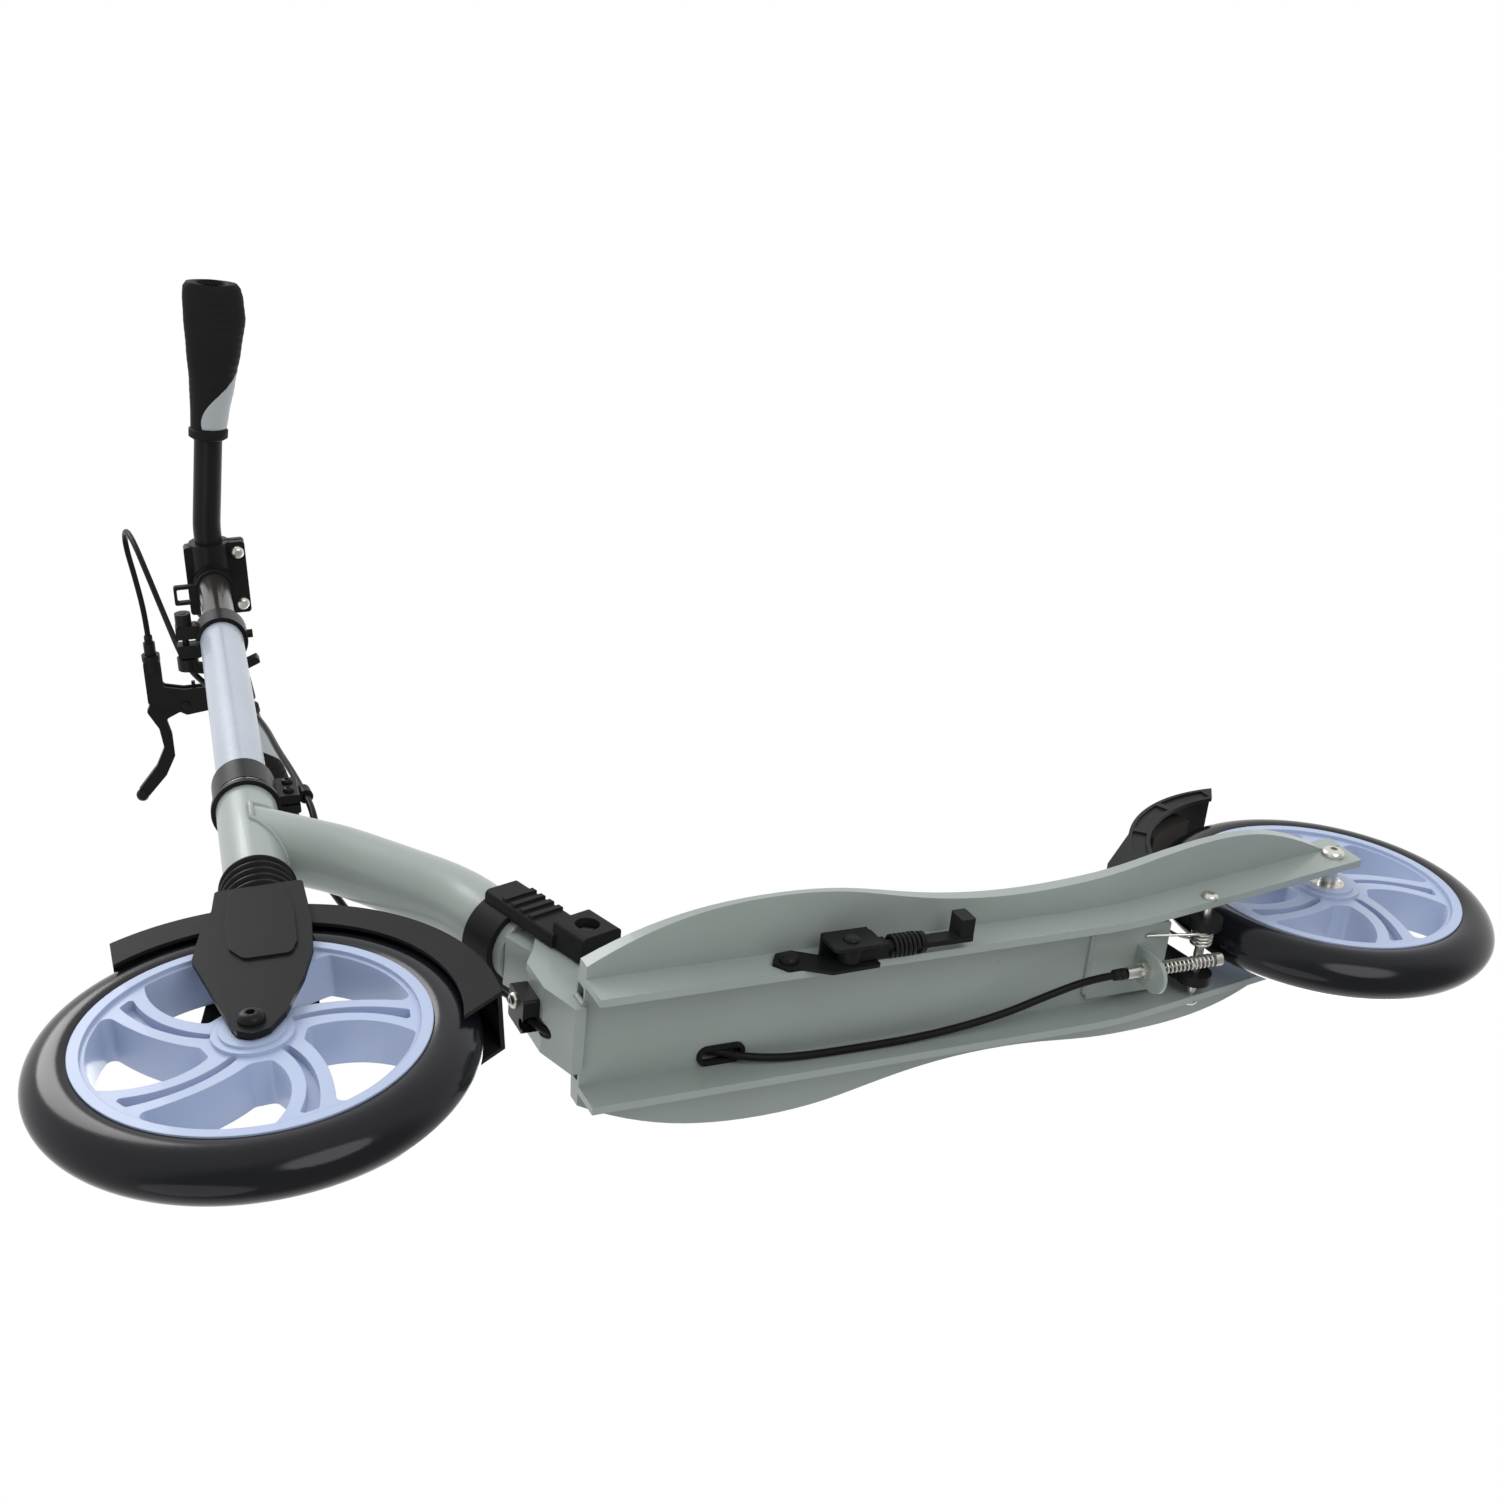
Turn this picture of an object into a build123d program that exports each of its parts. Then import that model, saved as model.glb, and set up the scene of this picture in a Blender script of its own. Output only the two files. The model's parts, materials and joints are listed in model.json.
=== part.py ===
from build123d import *
import math
import os

# Kick scooter standing upright on its wheels, in millimetres. +X points forward, +Y to the
# rider's left and +Z up. The ground is z = 0 and the origin lies under the middle of its length.

# ---------------------------------------------------------------- driving dimensions
WHEELBASE = 681.0
FRONT_TYRE_R, FRONT_RIM_R = 115.0, 90.5
REAR_TYRE_R, REAR_RIM_R = 107.5, 84.5
REAR_X = (REAR_TYRE_R - FRONT_TYRE_R - WHEELBASE) / 2
FRONT_X = REAR_X + WHEELBASE

HEAD_LEAN = 8.7          # the steering axis leans back this far, in degrees
STEER_TURN = -6.0        # the bars rest turned a little to the right, in degrees
FORK_OFFSET = 12.9       # the axle stands this far ahead of the steering axis

RIM_HALF, HUB_HALF, TYRE_HALF = 15.0, 16.5, 14.8
AXLE_R = 4.0
RUNNING_GAP = 0.05

DECK_FRONT_X = REAR_X + 516.0
DECK_UNDER_Z = 84.5
RIB_OUTER_Y, RIB_THICK, RIB_DEEP = 35.0, 4.7, 21.8
DECK_SKIN, DECK_CELL, WING_EDGE = 2.0, 9.0, 3.0
ARM_RISE = 9.6           # slope of the two rear arms, in degrees

HINGE_X, HINGE_Z = REAR_X + 508.0, 150.0      # the folding hinge
TUBE_END_X, TUBE_END_Z = REAR_X + 512.0, 180.0
DOWNTUBE_R = 21.0

BELLOWS_BOTTOM, HEAD_BOTTOM, HEAD_TOP = 143.0, 183.0, 284.0
HEAD_R, STEM_R, STEERER_R = 19.0, 16.0, 12.7
STEM_BOTTOM, STEM_TOP = 293.0, 599.0
MAST_R, MAST_BOTTOM = 12.5, 470.0
BAR_HEIGHT, BAR_R, BAR_REACH, BAR_SWEEP = 732.0, 11.0, 236.0, 25.0

CABLE_R = 2.3

os.makedirs("parts", exist_ok=True)

# ---------------------------------------------------------------- planes
lean = math.radians(HEAD_LEAN)
axle_reach = FORK_OFFSET * math.cos(lean), FORK_OFFSET * math.sin(lean)
turned = math.radians(STEER_TURN)
STEER = Plane(
    origin=(FRONT_X - axle_reach[0], 0, FRONT_TYRE_R - axle_reach[1]),
    x_dir=(math.cos(lean) * math.cos(turned), math.sin(turned), math.sin(lean) * math.cos(turned)),
    z_dir=(-math.sin(lean), 0, math.cos(lean)),
)


def steer_point(forward, left, up):
    """A point given from the foot of the steering axis."""
    return STEER.from_local_coords(Vector(forward, left, up))


def across_steer(up, forward=0, left=0):
    """A plane square to the steering axis; sketches are (forward, left)."""
    return Plane(steer_point(forward, left, up), x_dir=STEER.x_dir, z_dir=STEER.z_dir)


def beside_steer(left=0, forward=0, up=0):
    """A plane facing the rider's right; sketches are (forward, up)."""
    return Plane(steer_point(forward, left, up), x_dir=STEER.x_dir, z_dir=-STEER.y_dir)


def facing_steer(forward=0, left=0, up=0):
    """A plane facing forward; sketches are (left, up)."""
    return Plane(steer_point(forward, left, up), x_dir=STEER.y_dir, z_dir=STEER.x_dir)


def beside(left, x=0.0, z=0.0):
    """A plane facing the rider's right at a height and length; sketches are (forward, up)."""
    return Plane((x, left, z), x_dir=(1, 0, 0), z_dir=(0, -1, 0))


# the sleeve's plane: up the last straight length of the down tube, starting at its lower end
DOWNTUBE_RUN = (REAR_X + 535.0 - TUBE_END_X, 250.0 - TUBE_END_Z)
run_length = math.hypot(*DOWNTUBE_RUN)
SLEEVE = Plane(
    (TUBE_END_X, 0, TUBE_END_Z),
    x_dir=(DOWNTUBE_RUN[1] / run_length, 0, -DOWNTUBE_RUN[0] / run_length),
    z_dir=(DOWNTUBE_RUN[0] / run_length, 0, DOWNTUBE_RUN[1] / run_length),
)


# ---------------------------------------------------------------- helpers
def disc(plane, radius, depth, mode=Mode.ADD, both=False):
    """A round bar or hole on a plane, inside the part being built."""
    with BuildSketch(plane) as face:
        Circle(radius)
    extrude(face.sketch, amount=depth, both=both, mode=mode)


def block(plane, length, width, depth, mode=Mode.ADD, both=False, corner=0.0):
    """A block or pocket on a plane, with rounded corners where asked."""
    with BuildSketch(plane) as face:
        if corner:
            RectangleRounded(length, width, corner)
        else:
            Rectangle(length, width)
    extrude(face.sketch, amount=depth, both=both, mode=mode)


def plate(plane, points, depth, mode=Mode.ADD, both=False, corner=0.0):
    """A flat plate of a polygon outline on a plane."""
    with BuildSketch(plane) as face:
        with BuildLine():
            Polyline(*points, close=True)
        make_face()
        if corner:
            fillet(face.vertices(), radius=corner)
    extrude(face.sketch, amount=depth, both=both, mode=mode)


def dome_head(plane, radius, height, socket=0.0):
    """A low domed screw head standing on a plane, with a hexagon socket where asked."""
    side = Plane(plane.origin, x_dir=plane.x_dir, z_dir=-plane.y_dir)
    with BuildSketch(side) as section:
        with BuildLine():
            Polyline((radius * 0.45, height), (0, height), (0, 0), (radius, 0), (radius, height * 0.25))
            ThreePointArc((radius, height * 0.25), (radius * 0.82, height * 0.78), (radius * 0.45, height))
        make_face()
    revolve(section.sketch, axis=Axis(plane.origin, plane.z_dir))
    if socket:
        with BuildSketch(plane.offset(height)) as hexagon:
            RegularPolygon(socket, 6)
        extrude(hexagon.sketch, amount=-height * 0.6, mode=Mode.SUBTRACT)


def coil(plane, radius, wire, turns, length):
    """A coil spring of round wire, made from stacked rings joined by its own run-out."""
    with BuildLine() as path:
        Helix(pitch=length / turns, height=length, radius=radius, center=plane.origin, direction=plane.z_dir)
    start = path.line @ 0
    with BuildSketch(Plane(start, z_dir=path.line % 0)) as section:
        Circle(wire)
    sweep(section.sketch, path=path.line)


def bend_radii(points):
    """The arc radius at each inner point of a cable route, as large as its two runs allow."""
    radii = []
    for before, here, after in zip(points, points[1:], points[2:]):
        first, second = here - before, after - here
        half_turn = math.radians(first.get_angle(second)) / 2
        radii.append(0.45 * min(first.length, second.length) / math.tan(half_turn))
    return radii


def cable(points, radius):
    """A round cable along straight runs joined by tangent arcs."""
    radii = bend_radii(points)
    print("bend radii", [round(bend, 1) for bend in radii])
    with BuildLine() as route:
        FilletPolyline(*points, radius=radii)
    with BuildSketch(Plane(route.line @ 0, z_dir=route.line % 0)) as section:
        Circle(radius)
    sweep(section.sketch, path=route.line)


def save(built, label):
    """Name a finished piece and write it."""
    built.part.label = label
    export_step(built.part, f"parts/{label}.step")


# ---------------------------------------------------------------- wheels
SPOKES, SPOKE_SWIRL, SPOKE_START = 5, 30.0, 10.0
HUB_R, BEARING_R, BEARING_W, SLOT_DEEP = 19.0, 11.0, 7.0, 8.0


def swirl_point(radius, degrees):
    """A point on a spoke's swirl, at a radius and an angle from the spoke's foot."""
    share = (radius - HUB_R) / (FRONT_RIM_R - 8.5 - HUB_R)
    angle = math.radians(degrees + SPOKE_SWIRL * share)
    return radius * math.cos(angle), radius * math.sin(angle)


def wheel_window(index, start, outer):
    """The open window between two spokes, in the sketch being built."""
    reach = [27.0, 27.0 + (outer - 27.0) / 3, 27.0 + (outer - 27.0) * 2 / 3, outer]
    half = [11.5, 10.5, 11.5, 15.5]
    foot = start + index * 360 / SPOKES
    step = 360 / SPOKES
    near = [swirl_point(r, foot + math.degrees(w / r)) for r, w in zip(reach, half)]
    far = [swirl_point(r, foot + step - math.degrees(w / r)) for r, w in zip(reach, half)]
    with BuildLine() as outline:
        Spline(*near)
        Spline(*far)
        Line(near[0], far[0])
        middle = math.radians(foot + step / 2 + SPOKE_SWIRL * (outer - HUB_R) / (FRONT_RIM_R - 8.5 - HUB_R))
        ThreePointArc(near[-1], (outer * math.cos(middle), outer * math.sin(middle)), far[-1])
    return make_face(outline.line.edges())


def wheel_slot(index, start, outer):
    """The recessed slot that splits a spoke into two ribs, in the sketch being built."""
    reach = [21.0, 40.0, 60.0, outer - 3.0]
    half = [2.2, 2.6, 3.4, 5.2]
    foot = start + index * 360 / SPOKES
    near = [swirl_point(r, foot - math.degrees(w / r)) for r, w in zip(reach, half)]
    far = [swirl_point(r, foot + math.degrees(w / r)) for r, w in zip(reach, half)]
    with BuildLine() as outline:
        Spline(*near)
        Spline(*far)
        Line(near[0], far[0])
        Line(near[-1], far[-1])
    return make_face(outline.line.edges())


def build_wheel(side, rim_radius, tyre_radius, start, name):
    """A rim with swirled double spokes, its tyre and its two bearings, on a mid-plane."""
    inner = rim_radius - 8.5
    with BuildPart() as rim:
        disc(side, rim_radius, RIM_HALF, both=True)
        for sign in (1, -1):
            with BuildSketch(side.offset(sign * (RIM_HALF - 2.2))) as dish:
                Circle(inner + 2.5)
                Circle(HUB_R + 2, mode=Mode.SUBTRACT)
            extrude(dish.sketch, amount=sign * 4, mode=Mode.SUBTRACT)
        disc(side, HUB_R - 2, HUB_HALF, both=True)
        for index in range(SPOKES):
            with BuildSketch(side) as window:
                wheel_window(index, start, inner)
                fillet(window.vertices(), radius=4.0)
            extrude(window.sketch, amount=RIM_HALF + 1, both=True, mode=Mode.SUBTRACT)
            for sign in (1, -1):
                with BuildSketch(side.offset(sign * (RIM_HALF - SLOT_DEEP))) as slot:
                    wheel_slot(index, start, inner)
                    fillet(slot.vertices(), radius=1.9)
                extrude(slot.sketch, amount=sign * SLOT_DEEP, mode=Mode.SUBTRACT)
        disc(side, AXLE_R + 3, HUB_HALF + 1, both=True, mode=Mode.SUBTRACT)
        for sign in (1, -1):
            disc(side.offset(sign * HUB_HALF), BEARING_R, -sign * BEARING_W, Mode.SUBTRACT)
    save(rim, name + "_rim")

    with BuildPart() as tyre:
        section_plane = Plane(side.origin, x_dir=side.y_dir, z_dir=side.x_dir)
        with BuildSketch(section_plane) as section:
            with BuildLine():
                Line((rim_radius, -TYRE_HALF + 0.8), (rim_radius, TYRE_HALF - 0.8))
                Spline(
                    (rim_radius, TYRE_HALF - 0.8), (rim_radius + 9, TYRE_HALF), (tyre_radius - 4, 9.0),
                    (tyre_radius, 0), (tyre_radius - 4, -9.0), (rim_radius + 9, -TYRE_HALF),
                    (rim_radius, -TYRE_HALF + 0.8),
                )
            make_face()
        revolve(section.sketch, axis=Axis(side.origin, side.z_dir))
    save(tyre, name + "_tyre")

    with BuildPart() as bearings:
        for sign in (1, -1):
            outer_face = side.offset(sign * HUB_HALF)
            disc(outer_face, BEARING_R, -sign * BEARING_W)
            disc(outer_face, AXLE_R + RUNNING_GAP, -sign * BEARING_W, Mode.SUBTRACT)
            with BuildSketch(outer_face) as shield:
                Circle(BEARING_R - 1.6)
                Circle(AXLE_R + 2.0, mode=Mode.SUBTRACT)
            extrude(shield.sketch, amount=-sign * 0.6, mode=Mode.SUBTRACT)
    save(bearings, name + "_bearings")


FRONT_WHEEL = beside_steer(forward=FORK_OFFSET)
REAR_WHEEL = beside(0, REAR_X, REAR_TYRE_R)
build_wheel(FRONT_WHEEL, FRONT_RIM_R, FRONT_TYRE_R, SPOKE_START, "front")
build_wheel(REAR_WHEEL, REAR_RIM_R, REAR_TYRE_R, SPOKE_START + 22, "rear")


def build_axle(side, plate_inner, plate_thick, spacer_r, label):
    """A wheel axle through both plates, with domed heads and a spacer inside each plate."""
    with BuildPart() as axle:
        reach = plate_inner + plate_thick
        disc(side, AXLE_R, reach, both=True)
        dome_head(side.offset(reach), 7.2, 4.6)
        dome_head(Plane(side.offset(-reach).origin, x_dir=side.x_dir, z_dir=-side.z_dir),
                  7.2, 4.6, socket=2.6)
        for sign in (1, -1):
            disc(side.offset(sign * plate_inner), spacer_r, -sign * (plate_inner - HUB_HALF - 0.1))
            disc(side.offset(sign * plate_inner), spacer_r + 2.4, -sign * 1.2)
    save(axle, label)


# ---------------------------------------------------------------- fork and suspension
LEG_INNER, LEG_THICK = 18.2, 3.5
LEG_OUTLINE = [
    (-24.5, 143), (24.2, 142), (27, 120), (34.5, 95), (39.6, 68), (31.8, 34), (24.5, 2),
    (20.5, -9), (13.5, -13.5), (4.5, -10.5), (-4.5, 3), (-16.5, 36), (-23.5, 64), (-25.6, 97),
]
for sign, hand in ((1, "left"), (-1, "right")):
    with BuildPart() as leg:
        inner_face = beside_steer(left=sign * LEG_INNER)
        plate(inner_face, LEG_OUTLINE, -sign * LEG_THICK, corner=3.0)
        boss = beside_steer(left=sign * (LEG_INNER + LEG_THICK))
        plate(boss, [(-14, 138), (16, 138), (21, 104), (20, 72), (13, 60), (-12, 60), (-16, 72), (-17, 104)],
              -sign * 1.4, corner=5.0)
        disc(beside_steer(left=sign * LEG_INNER, forward=FORK_OFFSET), AXLE_R, -sign * LEG_THICK,
             Mode.SUBTRACT)
    save(leg, "fork_leg_" + hand)

build_axle(FRONT_WHEEL, LEG_INNER, LEG_THICK, 6.5, "front_axle")

CROWN_BOTTOM = 128.5
with BuildPart() as fork_crown:
    block(across_steer(CROWN_BOTTOM), 44, 2 * LEG_INNER, BELLOWS_BOTTOM - CROWN_BOTTOM, corner=4.0)
    disc(across_steer(BELLOWS_BOTTOM), 8.0, 60)
save(fork_crown, "fork_crown")

GUARD_OUTER, GUARD_THICK, GUARD_HALF = 126.5, 2.6, 17.6


def polar(radius, degrees):
    """A point at a radius and an angle."""
    return radius * math.cos(math.radians(degrees)), radius * math.sin(math.radians(degrees))


def arc_band(inner, outer, first, last, inner_first=None, inner_last=None):
    """A ring segment in the sketch being built, whose ends may be cut at a slant."""
    inner_first = first if inner_first is None else inner_first
    inner_last = last if inner_last is None else inner_last
    with BuildLine() as outline:
        ThreePointArc(polar(outer, first), polar(outer, (first + last) / 2), polar(outer, last))
        Line(polar(outer, last), polar(inner, inner_last))
        ThreePointArc(polar(inner, inner_last), polar(inner, (inner_first + inner_last) / 2),
                      polar(inner, inner_first))
        Line(polar(inner, inner_first), polar(outer, first))
    return make_face(outline.line.edges())


with BuildPart() as front_mudguard:
    with BuildSketch(FRONT_WHEEL) as guard_side:
        arc_band(106.0, GUARD_OUTER, 57, 181, 51, 191)
    extrude(guard_side.sketch, amount=GUARD_HALF, both=True)
    with BuildSketch(FRONT_WHEEL) as guard_inside:
        arc_band(96.0, GUARD_OUTER - GUARD_THICK, 40, 200)
    extrude(guard_inside.sketch, amount=GUARD_HALF - 2.2, both=True, mode=Mode.SUBTRACT)
save(front_mudguard, "front_mudguard")

# a stack of rings whose section is a run of half-round folds
BELLOWS_FOLDS = 5
with BuildPart() as bellows:
    fold_pitch = (HEAD_BOTTOM - 1.0 - BELLOWS_BOTTOM) / BELLOWS_FOLDS
    section_plane = beside_steer(up=BELLOWS_BOTTOM)
    with BuildSketch(section_plane) as section:
        with BuildLine():
            for fold in range(BELLOWS_FOLDS):
                low = fold * fold_pitch
                ThreePointArc((20.0, low), (23.0, low + fold_pitch / 2), (20.0, low + fold_pitch))
            top = BELLOWS_FOLDS * fold_pitch
            Polyline((20.0, top), (18.0, top), (18.0, 0), (20.0, 0))
        make_face()
    revolve(section.sketch, axis=Axis(steer_point(0, 0, 0), STEER.z_dir))
save(bellows, "suspension_bellows")

with BuildPart() as fork_spring:
    coil(across_steer(BELLOWS_BOTTOM + 1.7), 10.8, 1.6, 6, 35.8)
save(fork_spring, "suspension_spring")

# ---------------------------------------------------------------- head tube and steering column
with BuildPart() as head_tube:
    disc(across_steer(HEAD_BOTTOM), HEAD_R, HEAD_TOP - HEAD_BOTTOM)
    disc(across_steer(HEAD_BOTTOM), HEAD_R - 2.5, HEAD_TOP - HEAD_BOTTOM, Mode.SUBTRACT)
save(head_tube, "head_tube")

with BuildPart() as headset_cups:
    for low, tall in ((HEAD_TOP, 4.5), (HEAD_BOTTOM, 3.5)):
        outer = 22.0 if low == HEAD_TOP else HEAD_R - 2.6
        disc(across_steer(low), outer, tall)
        disc(across_steer(low), STEERER_R + 0.6, tall, Mode.SUBTRACT)
save(headset_cups, "headset_cups")

with BuildPart() as steerer:
    disc(across_steer(HEAD_BOTTOM + 0.5), STEERER_R, 160)
    disc(across_steer(HEAD_TOP + 4.9), 20.6, 3.2)
    disc(across_steer(HEAD_BOTTOM + 0.5), 8.05, 160, Mode.SUBTRACT)
save(steerer, "steerer_tube")

with BuildPart() as steering_tube:
    disc(across_steer(STEM_BOTTOM), STEM_R, STEM_TOP - STEM_BOTTOM)
    disc(across_steer(STEM_BOTTOM), STEERER_R + 0.3, STEM_TOP - STEM_BOTTOM, Mode.SUBTRACT)
save(steering_tube, "steering_tube")

# the lower collar grips the column over the steerer; its split lug points to the rear
COLLAR_LOW, COLLAR_TALL = 295.0, 28.0
CLIP_R, CLIP_LONG = CABLE_R + 2.4, 10.0
CLIP_TOP, CLIP_FOOT = (-33.0, -5.0, 345.0), (-38.5, -5.0, 304.0)
clip_run = (steer_point(*CLIP_TOP) - steer_point(*CLIP_FOOT)).normalized()
CLIP = Plane(steer_point(*CLIP_FOOT) + clip_run * 2, x_dir=STEER.y_dir, z_dir=clip_run)
with BuildPart() as lower_collar:
    disc(across_steer(COLLAR_LOW), STEM_R + 4.0, COLLAR_TALL)
    block(across_steer(COLLAR_LOW, forward=-25, left=-4), 18, 13, COLLAR_TALL, corner=1.5)
    disc(CLIP.offset(-CLIP_LONG), CLIP_R, 3 * CLIP_LONG, Mode.SUBTRACT)
    disc(across_steer(COLLAR_LOW), STEM_R, COLLAR_TALL, Mode.SUBTRACT)
    block(across_steer(COLLAR_LOW, forward=-25, left=-4), 22, 1.6, COLLAR_TALL, Mode.SUBTRACT)
save(lower_collar, "lower_collar")

with BuildPart() as lower_collar_bolts:
    for height in (COLLAR_LOW + 7.5, COLLAR_LOW + 20.5):
        head = Plane(steer_point(-27.5, 2.5, height), x_dir=STEER.x_dir, z_dir=STEER.y_dir)
        dome_head(head, 3.6, 2.6, socket=1.5)
save(lower_collar_bolts, "lower_collar_bolts")

# the cable clip rides on the collar's lug
with BuildPart() as cable_clip:
    disc(CLIP, CLIP_R, CLIP_LONG)
    disc(CLIP, CABLE_R + 0.05, CLIP_LONG, Mode.SUBTRACT)
save(cable_clip, "cable_clip")

# the upper collar closes on the height slide
UPPER_LOW, UPPER_TALL = 584.0, 22.0
CLAMP_FORWARD, CLAMP_UP, CLAMP_BOLT_R = 26.5, UPPER_LOW + 10.5, 2.5
with BuildPart() as upper_collar:
    disc(across_steer(UPPER_LOW), STEM_R + 3.4, UPPER_TALL)
    block(across_steer(UPPER_LOW + 5, forward=24.5), 17, 26, 11, corner=2.0)
    disc(facing_steer(forward=-STEM_R - 2, up=UPPER_LOW + 12), 3.2, -5.4)
    disc(across_steer(UPPER_LOW - 1), STEM_R, STEM_TOP - UPPER_LOW + 1, Mode.SUBTRACT)
    disc(across_steer(UPPER_LOW), MAST_R + 0.3, UPPER_TALL, Mode.SUBTRACT)
    block(across_steer(UPPER_LOW, forward=24.5), 22, 5, UPPER_TALL + 1, Mode.SUBTRACT)
    disc(beside_steer(forward=CLAMP_FORWARD, up=CLAMP_UP), CLAMP_BOLT_R, 20, Mode.SUBTRACT, both=True)
save(upper_collar, "upper_collar")

with BuildPart() as clamp_bolt:
    shank = beside_steer(left=-17.5, forward=CLAMP_FORWARD, up=CLAMP_UP)
    disc(shank, CLAMP_BOLT_R, -40)
    disc(beside_steer(left=13.2, forward=CLAMP_FORWARD, up=CLAMP_UP), 6.0, -9.0)
save(clamp_bolt, "clamp_bolt")

# the lever's cam turns on the bolt and its handle wraps the column's right side
with BuildPart() as clamp_lever:
    cam = beside_steer(left=-13.4, forward=CLAMP_FORWARD, up=CLAMP_UP)
    disc(cam, 8.0, 9.5)
    with BuildSketch(across_steer(CLAMP_UP - 5)) as handle:
        with BuildLine():
            Polyline((32, -14.5), (32, -22.9), (8, -28.5), (-14, -27.5), (-27, -22), (-24.5, -17.5),
                     (-12.5, -22.4), (8, -23), (21, -19), (21, -14.5), close=True)
        make_face()
        fillet(handle.vertices(), radius=1.4)
    extrude(handle.sketch, amount=10)
    disc(cam, CLAMP_BOLT_R + RUNNING_GAP, 9.5, Mode.SUBTRACT)
save(clamp_lever, "clamp_lever")

# ---------------------------------------------------------------- mast, bars and brake lever
with BuildPart() as mast:
    disc(across_steer(MAST_BOTTOM), MAST_R, BAR_HEIGHT - 14 - MAST_BOTTOM)
    disc(across_steer(MAST_BOTTOM), MAST_R - 1.8, BAR_HEIGHT - 14 - MAST_BOTTOM, Mode.SUBTRACT)
save(mast, "mast_tube")

with BuildPart() as bar_clamp:
    disc(beside_steer(up=BAR_HEIGHT), BAR_R + 5, 31, both=True)
    disc(across_steer(BAR_HEIGHT - 21), MAST_R + 2.9, 18)
    block(across_steer(BAR_HEIGHT, forward=-14), 28, 61, 6.4, both=True, corner=3.0)
    block(across_steer(BAR_HEIGHT - 6, forward=10.25), 20.5, 58, 12, corner=3.0)
    disc(beside_steer(up=BAR_HEIGHT), BAR_R, 32, both=True, mode=Mode.SUBTRACT)
    disc(across_steer(BAR_HEIGHT - 21), MAST_R, 7, Mode.SUBTRACT)
    block(across_steer(BAR_HEIGHT, forward=-20), 24, 64, 1.2, Mode.SUBTRACT, both=True)
    for side in (-22, 22):
        disc(across_steer(BAR_HEIGHT, forward=-21.5, left=side), 3.0, 8, Mode.SUBTRACT, both=True)
save(bar_clamp, "bar_clamp")

with BuildPart() as bar_clamp_bolts:
    for side in (-22, 22):
        foot = across_steer(BAR_HEIGHT - 6.4, forward=-21.5, left=side)
        disc(foot, 3.0, 12.8)
        down = Plane(foot.origin, x_dir=foot.x_dir, z_dir=-foot.z_dir)
        dome_head(down, 5.4, 5.0)
        dome_head(across_steer(BAR_HEIGHT + 6.4, forward=-21.5, left=side), 4.6, 3.4, socket=2.0)
save(bar_clamp_bolts, "bar_clamp_bolts")

BAR_POINTS = [(-BAR_SWEEP, BAR_REACH), (0.0, 44.0), (0.0, -44.0), (-BAR_SWEEP, -BAR_REACH)]
with BuildPart() as handlebar:
    with BuildLine() as bar_line:
        FilletPolyline(*[steer_point(x, y, BAR_HEIGHT) for x, y in BAR_POINTS], radius=90)
    with BuildSketch(Plane(bar_line.line @ 0, z_dir=bar_line.line % 0)) as ring:
        Circle(BAR_R)
        Circle(BAR_R - 1.8, mode=Mode.SUBTRACT)
    sweep(ring.sketch, path=bar_line.line)
save(handlebar, "handlebar")

sweep_angle = math.degrees(math.atan2(BAR_SWEEP, BAR_REACH - 44.0))
GRIP_INNER, GRIP_LENGTH = 117.0, 122.0


def grip_plane(hand, along, back=0.0):
    """A plane square to the bar's end run, at a distance from the steering axis."""
    swept = math.radians(sweep_angle)
    origin = steer_point(-(along - 44.0) * math.tan(swept) - back, hand * along, BAR_HEIGHT)
    outward = STEER.y_dir * (hand * math.cos(swept)) - STEER.x_dir * math.sin(swept)
    return Plane(origin, x_dir=outward.cross(STEER.z_dir), z_dir=outward)


GRIP_SECTIONS = [(0, 15.5, 15.5, 0), (8, 14.2, 14.2, 0), (45, 17.5, 14.6, 2), (90, 23.5, 13.6, 3),
                 (122, 22.5, 12.6, 0)]
for hand, label in ((1, "grip_left"), (-1, "grip_right")):
    with BuildPart() as grip:
        for along, wide, thick, back in GRIP_SECTIONS:
            with BuildSketch(grip_plane(hand, GRIP_INNER + along, back)):
                Ellipse(wide, thick)
        loft()
        disc(grip_plane(hand, GRIP_INNER - 1), BAR_R, GRIP_LENGTH + 5, Mode.SUBTRACT)
    save(grip, label)

with BuildPart() as strap_eye:
    band = across_steer(BAR_HEIGHT - 27)
    disc(band, MAST_R + 2.0, 5)
    block(across_steer(BAR_HEIGHT - 27, forward=22, left=-4), 20, 16, 5, corner=2.0)
    block(across_steer(BAR_HEIGHT - 27, forward=24.5, left=-4), 10, 10.5, 5, Mode.SUBTRACT, corner=1.0)
    disc(band, MAST_R, 5, Mode.SUBTRACT)
save(strap_eye, "strap_eye")

# the lever's perch: a ring on the bar, an arm forward and the housing of the cable adjuster
PERCH_Y = -100.0
PERCH_BACK = (-PERCH_Y - 44.0) * math.tan(math.radians(sweep_angle))
LEVER_PIVOT = (34.0, -108.0)
with BuildPart() as lever_perch:
    ring = grip_plane(-1, 94.0)
    disc(ring, BAR_R + 3.6, 17)
    plate(across_steer(BAR_HEIGHT - 5), [(0, -94), (34, -94), (50, -90), (50, -66.5), (64, -66.5), (64, -104),
                                         (42, -112), (34, -117), (0, -113)], 10, corner=3.0)
    disc(beside_steer(left=-66.5, forward=57, up=BAR_HEIGHT), 6.6, 9)
    disc(ring.offset(-4), BAR_R, 26, Mode.SUBTRACT)
    block(across_steer(BAR_HEIGHT - 2.6, forward=46, left=-104), 58, 34, 5.2, Mode.SUBTRACT)
    disc(across_steer(BAR_HEIGHT - 6, forward=LEVER_PIVOT[0], left=LEVER_PIVOT[1]), 2.5, 12, Mode.SUBTRACT)
save(lever_perch, "lever_perch")

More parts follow.
